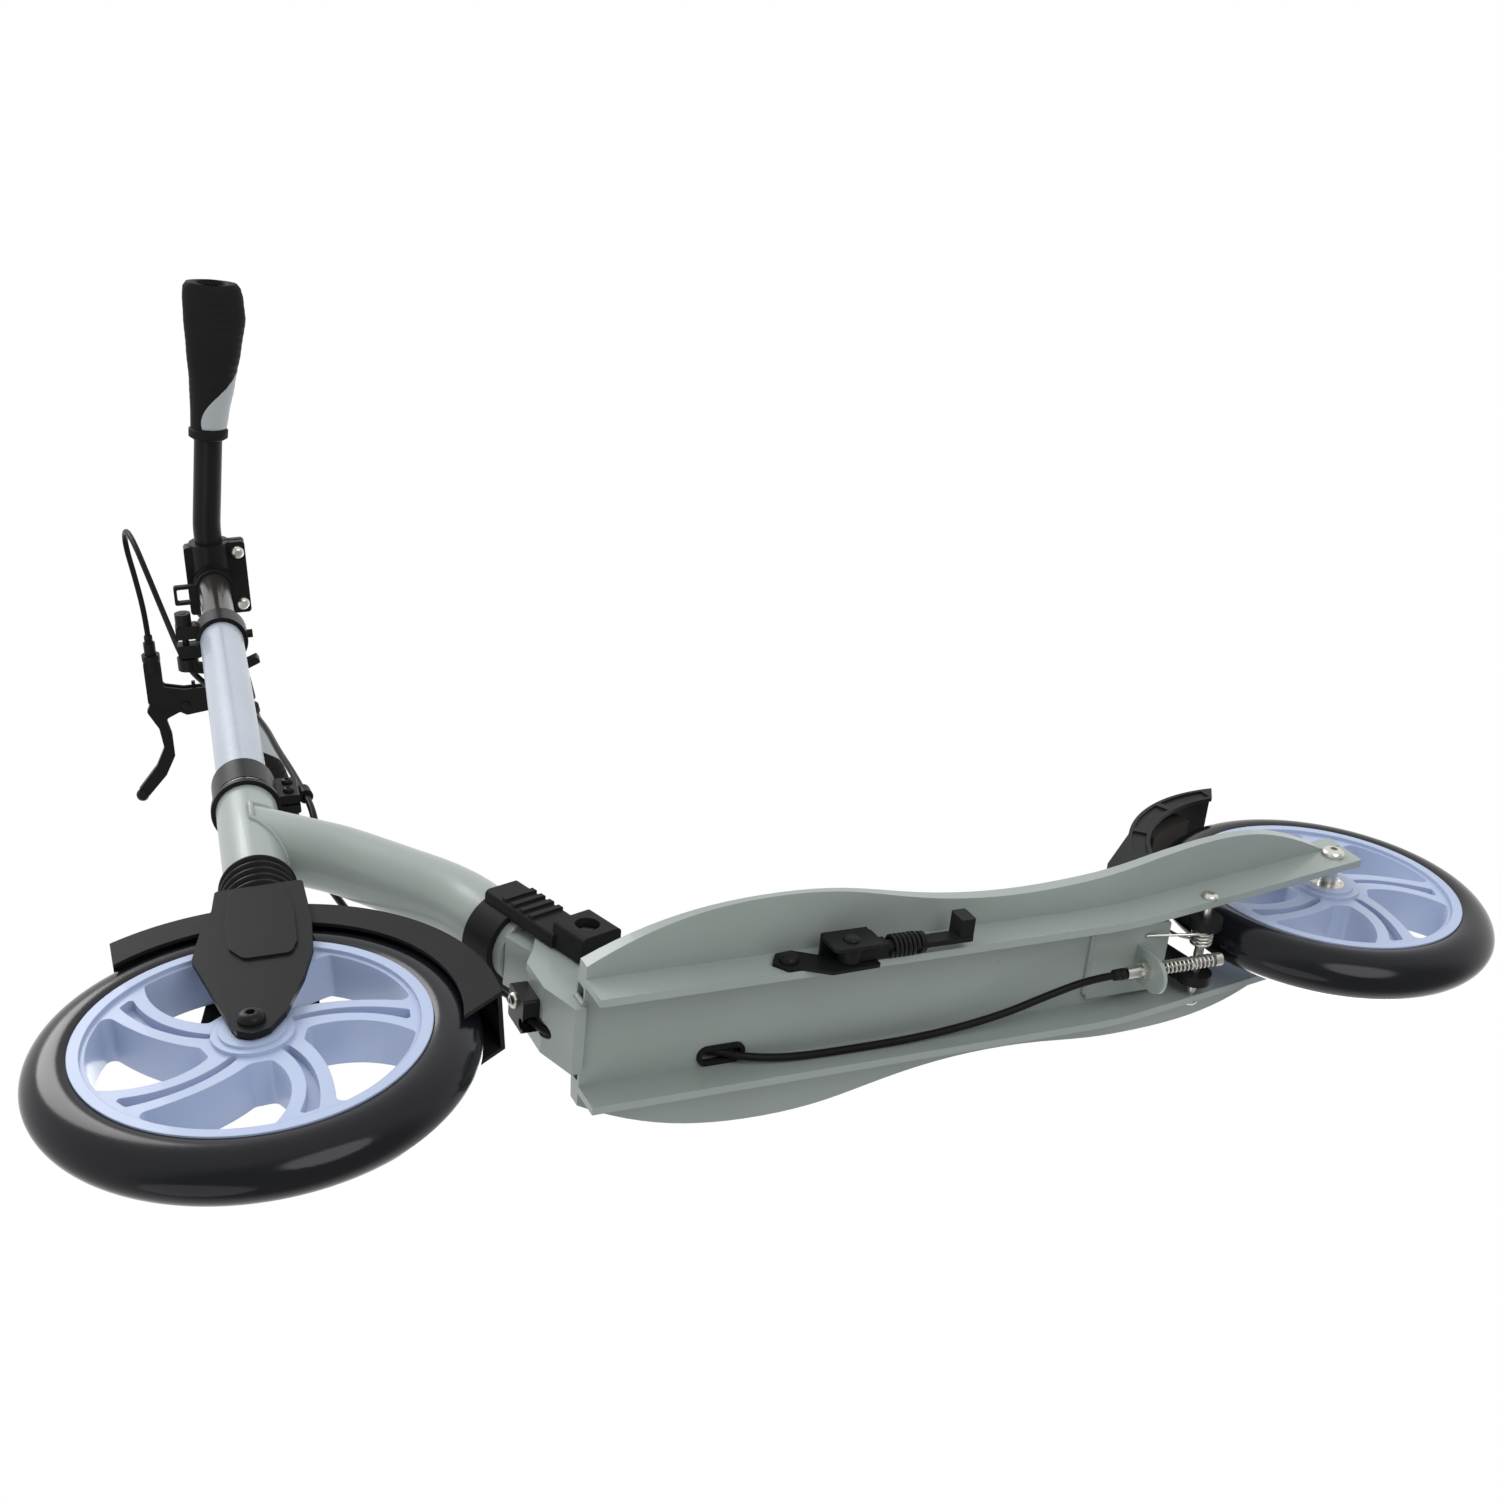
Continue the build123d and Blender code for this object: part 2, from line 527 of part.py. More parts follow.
with BuildPart() as lever_screws:
    pivot = across_steer(BAR_HEIGHT - 5, forward=LEVER_PIVOT[0], left=LEVER_PIVOT[1])
    disc(pivot, 2.5, 10)
    dome_head(Plane(pivot.origin, x_dir=pivot.x_dir, z_dir=-pivot.z_dir), 3.6, 2.0)
    reach_screw = Plane(steer_point(26, -94, BAR_HEIGHT), x_dir=STEER.x_dir, z_dir=STEER.y_dir)
    disc(reach_screw, 1.6, 5)
    barrel = Plane(steer_point(57, -66.5, BAR_HEIGHT), x_dir=STEER.x_dir, z_dir=STEER.y_dir)
    disc(barrel, 7.4, 5.0)
    disc(barrel.offset(5), 4.8, 10.5)
save(lever_screws, "lever_screws")

LEVER_UPPER = [(26, -101), (40, -101), (62, -104), (66, -112), (58, -128), (56, -146), (64, -162), (82, -183)]
LEVER_LOWER = [(74, -189), (57, -171), (48, -154), (48, -134), (51, -120), (40, -115), (29, -115)]
with BuildPart() as brake_lever:
    with BuildSketch(across_steer(BAR_HEIGHT - 2.4)) as blade:
        with BuildLine():
            Polyline(*LEVER_UPPER, *LEVER_LOWER, close=True)
        make_face()
        fillet(blade.vertices(), radius=2.6)
    extrude(blade.sketch, amount=4.8)
    with Locations(steer_point(78.5, -187.5, BAR_HEIGHT)):
        Sphere(5.4)
    disc(across_steer(BAR_HEIGHT - 3, forward=LEVER_PIVOT[0], left=LEVER_PIVOT[1]), 2.5 + RUNNING_GAP, 6,
         Mode.SUBTRACT)
save(brake_lever, "brake_lever")

# ---------------------------------------------------------------- down tube, hinge and latch
DOWNTUBE_LINE = [(638, 362), (585, 315), (535, 250), (512, 180)]
with BuildPart() as downtube:
    with BuildLine(Plane.XZ) as tube_line:
        FilletPolyline(*[(REAR_X + x, z) for x, z in DOWNTUBE_LINE], radius=110)
    with BuildSketch(Plane(tube_line.line @ 0, z_dir=tube_line.line % 0)) as section:
        Circle(DOWNTUBE_R)
        Circle(DOWNTUBE_R - 3, mode=Mode.SUBTRACT)
    sweep(section.sketch, path=tube_line.line)
    disc(SLEEVE, DOWNTUBE_R, 6)
    disc(across_steer(HEAD_BOTTOM - 40), HEAD_R, HEAD_TOP - HEAD_BOTTOM + 80, Mode.SUBTRACT)
    block(across_steer(HEAD_BOTTOM - 40, forward=45), 94, 80, HEAD_TOP - HEAD_BOTTOM + 80, Mode.SUBTRACT)
save(downtube, "downtube")

EAR_INNER, EAR_OUTER = 15.6, 20.0
GUIDE_X, GUIDE_Z, GUIDE_THICK = DECK_FRONT_X + 14.5, DECK_UNDER_Z + 37.5, 9.5
CABLE_SIDE = -4.5        # the cable runs this far to the right of the middle at the neck
CABLE_TURN = (GUIDE_X + 5, GUIDE_Z - 9)       # where the cable turns in towards the deck
CABLE_ENTRY = Plane((CABLE_TURN[0], CABLE_SIDE, CABLE_TURN[1]), x_dir=(0, 1, 0), z_dir=(-22, -2, -22))
with BuildPart() as hinge_lug:
    plate(beside(EAR_INNER - 0.4, HINGE_X, HINGE_Z),
          [(-13, 38), (-12, 0), (-9, -8), (0, -12), (9, -8), (12, 0), (22, 24)],
          2 * EAR_INNER - 0.8, corner=2.0)
    disc(SLEEVE, 60, 40, Mode.SUBTRACT)
    disc(beside(EAR_INNER, HINGE_X, HINGE_Z), AXLE_R + RUNNING_GAP, 2 * EAR_INNER, Mode.SUBTRACT)
save(hinge_lug, "hinge_lug")

with BuildPart() as neck_bracket:
    foot = beside(EAR_OUTER, DECK_FRONT_X, DECK_UNDER_Z)
    plate(foot, [(-34, 13.2), (-20, 62), (-17, 72), (-9, 77.5), (1, 75), (6, 64), (14.5, 50), (14.5, 22),
                 (6, -4), (0, -4), (0, 13.2)], 2 * EAR_OUTER)
    block(Plane((HINGE_X, 0, HINGE_Z - 18), x_dir=(1, 0, 0), z_dir=(0, 0, 1)), 100, 2 * EAR_INNER, 60,
          Mode.SUBTRACT)
    plate(beside(EAR_INNER, DECK_FRONT_X, DECK_UNDER_Z),
          [(-26, 16), (-13, 50), (-13, 100), (40, 100), (40, 46), (10.5, 46), (10.5, 22), (4.2, 2), (0, 2),
           (0, 16)], 2 * EAR_INNER, Mode.SUBTRACT)
    disc(beside(EAR_OUTER, HINGE_X, HINGE_Z), AXLE_R, 2 * EAR_OUTER, Mode.SUBTRACT)
    disc(CABLE_ENTRY, CABLE_R + 2.6, 30, Mode.SUBTRACT)
save(neck_bracket, "neck_bracket")

with BuildPart() as hinge_pin:
    disc(beside(EAR_OUTER, HINGE_X, HINGE_Z), AXLE_R, 2 * EAR_OUTER)
    dome_head(Plane((HINGE_X, -EAR_OUTER, HINGE_Z), x_dir=(1, 0, 0), z_dir=(0, -1, 0)), 7, 3.5, socket=2.5)
save(hinge_pin, "hinge_pin")

# the latch sleeve slides up the tube; its ridged tongue carries the locking block
with BuildPart() as latch_sleeve:
    disc(SLEEVE.offset(6), DOWNTUBE_R + 4.2, 24)
    block(SLEEVE.offset(-34), 24, 2 * 30, 62, corner=3.0)
    tongue_foot = SLEEVE.from_local_coords(Vector(-3, 0, -58))
    block(Plane(tongue_foot, x_dir=SLEEVE.x_dir, z_dir=SLEEVE.z_dir), 27, 2 * 37, 26, corner=3.0)
    for ridge in (10, 2, -6, -14):
        block(SLEEVE.offset(ridge), 22, 2 * 31.6, 3.4, corner=1.0)
    disc(SLEEVE, DOWNTUBE_R + 0.35, 60, Mode.SUBTRACT)
    block(SLEEVE.offset(-70), 90, 2 * (DOWNTUBE_R + 0.35), 76.5, Mode.SUBTRACT)
    with BuildSketch(Plane(SLEEVE.offset(-100).origin, x_dir=SLEEVE.x_dir, z_dir=SLEEVE.z_dir)) as right_half:
        with Locations((0, -50)):
            Rectangle(120, 100)
    extrude(right_half.sketch, amount=106, mode=Mode.SUBTRACT)
    screw_seat = Plane(SLEEVE.from_local_coords(Vector(-3, 37, -45)), x_dir=SLEEVE.x_dir, z_dir=(0, 1, 0))
    disc(screw_seat, 7.0, -7.0, Mode.SUBTRACT)
save(latch_sleeve, "latch_sleeve")

with BuildPart() as latch_screw:
    seat = Plane(SLEEVE.from_local_coords(Vector(-3, 30, -45)), x_dir=SLEEVE.x_dir, z_dir=(0, 1, 0))
    disc(seat, 5.0, 2.2)
    block(seat.offset(2.2), 5.4, 1.2, -1.2, Mode.SUBTRACT)
    block(seat.offset(2.2), 1.2, 5.4, -1.2, Mode.SUBTRACT)
save(latch_screw, "latch_screw")

# the cable guide stands on the neck's front, with its bolt head facing forward
with BuildPart() as cable_guide:
    block(Plane((GUIDE_X, 0, GUIDE_Z), x_dir=(0, 1, 0), z_dir=(1, 0, 0)), 20, 23, GUIDE_THICK, corner=2.0)
    disc(Plane((CABLE_TURN[0], CABLE_SIDE, CABLE_TURN[1])), CABLE_R + 0.9, 30, Mode.SUBTRACT)
    with Locations((CABLE_TURN[0], CABLE_SIDE, CABLE_TURN[1])):
        Sphere(CABLE_R + 3.2, mode=Mode.SUBTRACT)
    disc(CABLE_ENTRY, CABLE_R + 1.5, 16, Mode.SUBTRACT)
save(cable_guide, "cable_guide")

with BuildPart() as cable_guide_bolt:
    dome_head(Plane((GUIDE_X + GUIDE_THICK, 4, GUIDE_Z + 2), x_dir=(0, 1, 0), z_dir=(1, 0, 0)), 4.6, 3.0,
              socket=1.9)
save(cable_guide_bolt, "cable_guide_bolt")

# ---------------------------------------------------------------- deck
SLOT_FRONT = REAR_X + 136.0
HALF_OUTLINE = [(516, 42.5), (497, 52), (460, 64.5), (410, 70.3), (365, 67.5), (322, 58.5), (280, 52.5),
                (230, 51.8), (180, 56.5), (120, 62), (65, 58.5), (28, 47), (3, 36)]
DECK_HALF, DECK_CROWN = 74.0, DECK_SKIN * 2 + DECK_CELL
RIB_INNER_Y = RIB_OUTER_Y - RIB_THICK
GROMMET = Plane((REAR_X + 433, -24, DECK_UNDER_Z), x_dir=(1, 0, 0), z_dir=(0, 0, -1))
GROMMET_LONG, GROMMET_WIDE = 29.0, 12.0
ARM_END = -15.0

with BuildPart() as deck:
    with BuildLine(Plane.XZ) as spine:
        rise = (185 - ARM_END + 6) * math.tan(math.radians(ARM_RISE))
        FilletPolyline((DECK_FRONT_X, DECK_UNDER_Z), (REAR_X + 185, DECK_UNDER_Z),
                       (REAR_X + ARM_END - 6, DECK_UNDER_Z + rise), radius=240)
    with BuildSketch(Plane((DECK_FRONT_X, 0, DECK_UNDER_Z), x_dir=(0, -1, 0), z_dir=(-1, 0, 0))) as profile:
        with BuildLine():
            Polyline((-DECK_HALF, WING_EDGE), (-DECK_HALF, 0), (DECK_HALF, 0), (DECK_HALF, WING_EDGE))
            ThreePointArc((DECK_HALF, WING_EDGE), (0, DECK_CROWN), (-DECK_HALF, WING_EDGE))
        make_face()
        for sign in (1, -1):
            with Locations((sign * (RIB_INNER_Y + RIB_THICK / 2), -RIB_DEEP / 2 + 1)):
                Rectangle(RIB_THICK, RIB_DEEP + 2)
        with Locations((0, DECK_SKIN + DECK_CELL / 2)):
            RectangleRounded(57, DECK_CELL, 2, mode=Mode.SUBTRACT)
    sweep(profile.sketch, path=spine.line)
    # the outline, cut from above
    with BuildSketch(Plane.XY.offset(30)) as outline:
        with BuildLine():
            left = [(REAR_X + x, y) for x, y in HALF_OUTLINE]
            right = [(x, -y) for x, y in left]
            Spline(*left)
            Polyline(left[-1], (REAR_X + ARM_END, RIB_OUTER_Y + 0.2), (REAR_X + ARM_END, -RIB_OUTER_Y - 0.2),
                     right[-1])
            Spline(*right)
            Line(right[0], left[0])
        make_face()
    extrude(outline.sketch, amount=140, mode=Mode.INTERSECT)
    # the wheel slot between the arms
    block(Plane((SLOT_FRONT - 100, 0, 30), x_dir=(1, 0, 0), z_dir=(0, 0, 1)), 200, 2 * RIB_INNER_Y, 140,
          Mode.SUBTRACT, corner=9.0)
    # the ribs run out towards the axle
    plate(beside(80), [(REAR_X + 177, DECK_UNDER_Z - RIB_DEEP), (REAR_X - 20, REAR_TYRE_R - 9.5),
                       (REAR_X - 20, 40), (REAR_X + 177, 40)], 160, Mode.SUBTRACT)
    disc(beside(80, REAR_X, REAR_TYRE_R), AXLE_R, 160, Mode.SUBTRACT)
    disc(beside(80, REAR_X + 118, 78.5), 3.0, 160, Mode.SUBTRACT)
    with BuildSketch(GROMMET) as cable_hole:
        SlotOverall(GROMMET_LONG - 2.4, GROMMET_WIDE - 2.4)
    extrude(cable_hole.sketch, amount=-DECK_SKIN - 1, mode=Mode.SUBTRACT)
save(deck, "deck")

with BuildPart() as grip_sheet:
    with BuildLine(Plane.XZ) as top_line:
        Line((DECK_FRONT_X - 40, DECK_UNDER_Z), (REAR_X + 205, DECK_UNDER_Z))
    sheet_end = Plane((DECK_FRONT_X - 40, 0, DECK_UNDER_Z), x_dir=(0, -1, 0), z_dir=(-1, 0, 0))
    with BuildSketch(sheet_end) as sheet:
        with BuildLine():
            ThreePointArc((DECK_HALF, WING_EDGE + 0.02), (0, DECK_CROWN + 0.02),
                          (-DECK_HALF, WING_EDGE + 0.02))
            Line((-DECK_HALF, WING_EDGE + 0.02), (-DECK_HALF, WING_EDGE + 1))
            ThreePointArc((-DECK_HALF, WING_EDGE + 1), (0, DECK_CROWN + 1), (DECK_HALF, WING_EDGE + 1))
            Line((DECK_HALF, WING_EDGE + 1), (DECK_HALF, WING_EDGE + 0.02))
        make_face()
    extrude(sheet.sketch, amount=DECK_FRONT_X - 40 - REAR_X - 205)
    with BuildSketch(Plane.XY.offset(30)) as sheet_outline:
        with BuildLine():
            left = [(REAR_X + x, y - 7) for x, y in HALF_OUTLINE[1:10]]
            right = [(x, -y) for x, y in left]
            Spline(*left)
            Line(left[-1], right[-1])
            Spline(*right)
            Line(right[0], left[0])
        make_face()
    extrude(sheet_outline.sketch, amount=140, mode=Mode.INTERSECT)
save(grip_sheet, "grip_sheet")

with BuildPart() as cable_grommet:
    with BuildSketch(GROMMET) as flange:
        SlotOverall(GROMMET_LONG, GROMMET_WIDE)
    extrude(flange.sketch, amount=1.6)
    with BuildSketch(GROMMET) as sleeve:
        SlotOverall(GROMMET_LONG - 2.4, GROMMET_WIDE - 2.4)
    extrude(sleeve.sketch, amount=-DECK_SKIN)
    with BuildSketch(GROMMET.offset(-3)) as eye:
        SlotOverall(GROMMET_LONG - 5.2, GROMMET_WIDE - 5.2)
    extrude(eye.sketch, amount=6, mode=Mode.SUBTRACT)
save(cable_grommet, "cable_grommet")

# ---------------------------------------------------------------- rear wheel fixings and brake
build_axle(REAR_WHEEL, RIB_INNER_Y, RIB_THICK, 5.6, "rear_axle")

BRAKE_X, BRAKE_Z = REAR_X + 118.0, 78.5
FENDER_OUTER, FENDER_SKIN, FENDER_HALF, FENDER_LIP = 128.0, 2.8, 24.0, 114.0
with BuildPart() as rear_fender:
    # the crown of the fender, flaring into a foot pad towards the deck
    with BuildSketch(REAR_WHEEL) as crown:
        arc_band(FENDER_LIP, FENDER_OUTER, 22, 91, 22, 86)
        with BuildLine():
            Polyline(polar(FENDER_OUTER, 38), (140, 45), (146, 24), (142, 3), polar(FENDER_LIP, 8),
                     polar(FENDER_LIP, 22), polar(FENDER_LIP, 34), close=True)
        make_face()
    extrude(crown.sketch, amount=FENDER_HALF, both=True)
    # the hollow over the tyre
    disc(REAR_WHEEL, FENDER_OUTER - FENDER_SKIN, FENDER_HALF - 2.6, both=True, mode=Mode.SUBTRACT)
    # the pockets along both sides, between ribs
    for sign in (1, -1):
        with BuildSketch(REAR_WHEEL.offset(sign * FENDER_HALF)) as pockets:
            for first, last in ((26, 41), (43.5, 64), (66.5, 86)):
                arc_band(FENDER_LIP + 2.4, FENDER_OUTER - 2.4, first, last)
        extrude(pockets.sketch, amount=-sign * 1.3, mode=Mode.SUBTRACT)
    # two arms down to the hinge
    for sign in (1, -1):
        arm = REAR_WHEEL.offset(sign * 15.5)
        hub = (118.0, BRAKE_Z - REAR_TYRE_R)
        with BuildSketch(arm) as arm_shape:
            with BuildLine():
                Polyline((hub[0] - 9, hub[1] + 2), (hub[0] - 4, 4), (113.5, 18), (140, 18), (135, 2),
                         (hub[0] + 10.5, hub[1] + 4), (hub[0], hub[1] - 9), close=True)
            make_face()
            with Locations(hub):
                Circle(10.5)
        extrude(arm_shape.sketch, amount=sign * 6.5)
    disc(beside(30, BRAKE_X, BRAKE_Z), 3.0 + RUNNING_GAP, 60, Mode.SUBTRACT)
save(rear_fender, "rear_fender")

with BuildPart() as brake_pad:
    with BuildSketch(REAR_WHEEL) as pad:
        arc_band(FENDER_LIP + 2, FENDER_OUTER - FENDER_SKIN, 56, 78)
    extrude(pad.sketch, amount=9, both=True)
save(brake_pad, "brake_pad")

with BuildPart() as fender_hinge_pin:
    disc(beside(RIB_OUTER_Y, BRAKE_X, BRAKE_Z), 3.0, 2 * RIB_OUTER_Y)
    dome_head(Plane((BRAKE_X, RIB_OUTER_Y, BRAKE_Z), x_dir=(1, 0, 0), z_dir=(0, 1, 0)), 5.2, 3.0, socket=1.9)
    dome_head(Plane((BRAKE_X, -RIB_OUTER_Y, BRAKE_Z), x_dir=(1, 0, 0), z_dir=(0, -1, 0)), 5.2, 3.0)
save(fender_hinge_pin, "fender_hinge_pin")

with BuildPart() as torsion_spring:
    coil(Plane((BRAKE_X, 14.2, BRAKE_Z), x_dir=(1, 0, 0), z_dir=(0, -1, 0)), 5.9, 0.9, 4.5, 10.6)
save(torsion_spring, "torsion_spring")

BRIDGE_X = REAR_X + 160.0
with BuildPart() as cable_bridge:
    plate(Plane.XY.offset(DECK_UNDER_Z), [(BRIDGE_X - 20, -26), (BRIDGE_X + 34, -26), (BRIDGE_X + 34, 20),
                                          (BRIDGE_X - 20, 20)], -2.4, corner=2.0)
    with BuildSketch(Plane((BRIDGE_X, 0, 0), x_dir=(0, 1, 0), z_dir=(1, 0, 0))) as tongue:
        with Locations((-4, 74)):
            Rectangle(22, 22)
        with Locations((-4, 63)):
            Circle(11)
        with Locations((-4, 70)):
            Circle(3.6, mode=Mode.SUBTRACT)
    extrude(tongue.sketch, amount=2.6)
save(cable_bridge, "cable_bridge")

ANCHOR_Y, ANCHOR_Z = -4.0, 70.0
with BuildPart() as rear_adjuster:
    out = Plane((BRIDGE_X - 6, ANCHOR_Y, ANCHOR_Z), x_dir=(0, 1, 0), z_dir=(1, 0, 0))
    disc(out, 3.5, 14)
    with BuildSketch(out.offset(8.6)) as nut:
        RegularPolygon(5.6, 6)
    extrude(nut.sketch, amount=4)
    disc(out.offset(14), 3.8, 9)
    disc(out, 0.75, 30, Mode.SUBTRACT)
save(rear_adjuster, "rear_adjuster")

# the spring stands round the bare inner wire, which ends in a nipple
with BuildPart() as return_spring:
    wire_end = Plane((BRIDGE_X - 52, ANCHOR_Y, ANCHOR_Z), x_dir=(0, 1, 0), z_dir=(1, 0, 0))
    coil(wire_end.offset(6), 3.6, 0.65, 13, 39)
    disc(wire_end, 0.7, 60)
    disc(wire_end, 4.2, 5)
save(return_spring, "return_spring")

# ---------------------------------------------------------------- kickstand
STAND_X, STAND_Z, STAND_Y = REAR_X + 372.0, 63.0, RIB_OUTER_Y
YOKE_GAP, YOKE_WALL = 11.0, 2.0
with BuildPart() as stand_bracket:
    plate(beside(STAND_Y, STAND_X, STAND_Z),
          [(-16, 10), (-16, -8), (14, -9), (28, 0), (36, 0), (42, 9), (36, 18), (26, 19), (14, 11)],
          -YOKE_WALL, corner=1.5)
    block(beside(STAND_Y + YOKE_WALL + YOKE_GAP, STAND_X - 1, STAND_Z), 30, 18, -YOKE_WALL, corner=3.0)
    block(beside(STAND_Y, STAND_X - 1, STAND_Z + 10.2), 28, 2.4, -(YOKE_GAP + 2 * YOKE_WALL))
    disc(beside(STAND_Y, STAND_X, STAND_Z), 3.0, -20, Mode.SUBTRACT)
save(stand_bracket, "stand_bracket")

with BuildPart() as stand_pins:
    dome_head(Plane((STAND_X + 32, STAND_Y + YOKE_WALL, STAND_Z + 9), x_dir=(1, 0, 0), z_dir=(0, 1, 0)),
              5.6, 3.6)
    disc(beside(STAND_Y, STAND_X, STAND_Z), 3.0, -(YOKE_GAP + 2 * YOKE_WALL))
    dome_head(Plane((STAND_X, STAND_Y + YOKE_GAP + 2 * YOKE_WALL, STAND_Z), x_dir=(1, 0, 0), z_dir=(0, 1, 0)),
              4.6, 2.2)
save(stand_pins, "stand_pins")

STAND_MID = STAND_Y + YOKE_WALL + YOKE_GAP / 2
with BuildPart() as stand_leg:
    mid_plane = beside(STAND_MID, STAND_X, STAND_Z)
    disc(mid_plane, 6.5, 4.8, both=True)
    block(beside(STAND_MID, STAND_X - 12, STAND_Z), 20, 9, 4.2, both=True)
    disc(Plane((STAND_X - 20, STAND_MID, STAND_Z), x_dir=(0, 1, 0), z_dir=(-1, 0, 0)), 4.0, 24)
    disc(Plane((STAND_X - 42, STAND_MID, STAND_Z), x_dir=(0, 1, 0), z_dir=(-1, 0, 0)), 6.2, 3)
    block(beside(STAND_MID, STAND_X - 58, STAND_Z), 34, 9.5, 1.6, both=True)
    block(beside(STAND_MID - 1.6, STAND_X - 71, STAND_Z + 2), 9, 13, -14, corner=1.0)
    disc(mid_plane, 3.0 + RUNNING_GAP, 6, both=True, mode=Mode.SUBTRACT)
save(stand_leg, "stand_leg")

with BuildPart() as stand_spring:
    coil(Plane((STAND_X - 23.8, STAND_MID, STAND_Z), x_dir=(0, 1, 0), z_dir=(-1, 0, 0)), 5.7, 1.1, 6, 16.4)
save(stand_spring, "stand_spring")

# ---------------------------------------------------------------- brake cable
LOOP_ROUTE = [(57, -50.9, 732), (57, -28, 732), (61, -2, 750), (66, 24, 766), (64, 42, 752), (58, 40, 724),
              (50, 22, 692), (41, -2.5, 664), (35, -15, 638)]
STEM_ROUTE = [(35, -15, 638), (29.6, -26.25, 614.6), (17, -33, 585), (0, -32, 550), (-15, -27, 505),
              (-22, -17, 450), (-26, -9, 395), CLIP_TOP, CLIP_FOOT]
clip_end = steer_point(*CLIP_FOOT)
NECK_ROUTE = [(590, -26, 352), (586, -28, 318), (583, -27, 275), (575, -22, 232), (559, -13, 190),
              (545, -6, 162)]
neck_end = Vector(CABLE_TURN[0], CABLE_SIDE, GUIDE_Z + 14)
DECK_ROUTE = [(518.2, -6.5, 90.6), (470, -14, 91.3), (450, -20, 91), (434, -23.6, 86.2), (419, -25, 77.5),
              (392, -27.6, 74.5), (352, -28, 74), (308, -27, 73), (262, -21, 72), (226, -10, 70.6),
              (200, ANCHOR_Y, ANCHOR_Z), (177.4, ANCHOR_Y, ANCHOR_Z)]


def from_rear(route):
    """Points measured forward from the rear axle."""
    return [Vector(REAR_X + x, y, z) for x, y, z in route]


cable_runs = {
    "cable_loop": [steer_point(*point) for point in LOOP_ROUTE],
    "cable_stem": [steer_point(*point) for point in STEM_ROUTE],
    "cable_neck": [clip_end, clip_end - clip_run * 26, *from_rear(NECK_ROUTE),
                   neck_end + Vector(0, 0, 9), neck_end],
    "cable_deck": [neck_end, Vector(CABLE_TURN[0], CABLE_SIDE, CABLE_TURN[1]), *from_rear(DECK_ROUTE)],
}
for label, points in cable_runs.items():
    with BuildPart() as run:
        cable(points, CABLE_R)
    save(run, label)
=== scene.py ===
"""A folding kick scooter: procedural finishes, modelled soft parts, cables, welds and a studio."""

import json
import logging
import math
from dataclasses import dataclass, field
from enum import Enum

import bpy
from mathutils import Matrix, Vector


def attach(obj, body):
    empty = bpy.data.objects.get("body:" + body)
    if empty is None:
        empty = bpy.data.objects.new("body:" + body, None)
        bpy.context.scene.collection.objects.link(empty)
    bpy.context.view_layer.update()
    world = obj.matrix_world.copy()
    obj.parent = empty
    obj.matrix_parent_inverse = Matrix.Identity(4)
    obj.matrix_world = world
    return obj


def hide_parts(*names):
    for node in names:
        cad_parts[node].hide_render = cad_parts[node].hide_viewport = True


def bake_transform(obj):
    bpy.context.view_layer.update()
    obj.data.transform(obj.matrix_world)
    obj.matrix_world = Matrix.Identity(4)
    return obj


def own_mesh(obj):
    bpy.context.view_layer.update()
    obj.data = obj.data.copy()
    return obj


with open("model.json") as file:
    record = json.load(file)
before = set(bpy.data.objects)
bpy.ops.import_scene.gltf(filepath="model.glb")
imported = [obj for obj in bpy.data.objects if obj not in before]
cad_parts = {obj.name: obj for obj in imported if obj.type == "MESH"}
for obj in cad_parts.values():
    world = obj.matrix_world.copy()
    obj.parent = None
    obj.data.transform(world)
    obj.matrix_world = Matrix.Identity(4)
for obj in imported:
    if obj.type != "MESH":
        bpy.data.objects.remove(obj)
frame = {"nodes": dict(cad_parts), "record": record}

log = logging.getLogger("scooter")

MM = 0.001
REAR_X = -344.25


# ------------------------------------------------------------------ frames of reference
@dataclass(frozen=True)
class SteeringFrame:
    """The turned and leaning frame that everything on the steering column is measured in."""

    origin: Vector
    forward: Vector
    left: Vector
    up: Vector

    @classmethod
    def from_record(cls, record: dict) -> "SteeringFrame":
        """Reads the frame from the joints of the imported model.

        Args:
            record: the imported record.

        Returns:
            The steering frame at rest.
        """
        joints = {joint["name"]: joint for joint in record["behaviour"]["joints"]}
        up = Vector(joints["steering"]["axis"]).normalized()
        left = Vector(joints["front_wheel_spin"]["axis"]).normalized()
        forward = left.cross(up).normalized()
        axle = Vector(joints["front_wheel_spin"]["pos_m"])
        pivot = Vector(joints["steering"]["pos_m"])
        origin = pivot + up * (axle - pivot).dot(up)
        return cls(origin, forward, left, up)

    def point(self, forward: float, left: float, up: float) -> Vector:
        """Turns column measurements into a place.

        Args:
            forward: millimetres forward of the steering axis.
            left: millimetres to the rider's left.
            up: millimetres up the axis from the axle's height.

        Returns:
            The point in metres.
        """
        return self.origin + (self.forward * forward + self.left * left + self.up * up) * MM

    def route(self, points: list[tuple[float, float, float]]) -> list[Vector]:
        """Turns a list of column measurements into places."""
        return [self.point(*point) for point in points]


def from_rear(points: list[tuple[float, float, float]]) -> list[Vector]:
    """Points measured forward from the rear axle, left and up from the ground.

    Args:
        points: millimetres forward, left and up.

    Returns:
        The points in metres.
    """
    return [Vector((REAR_X + x, y, z)) * MM for x, y, z in points]


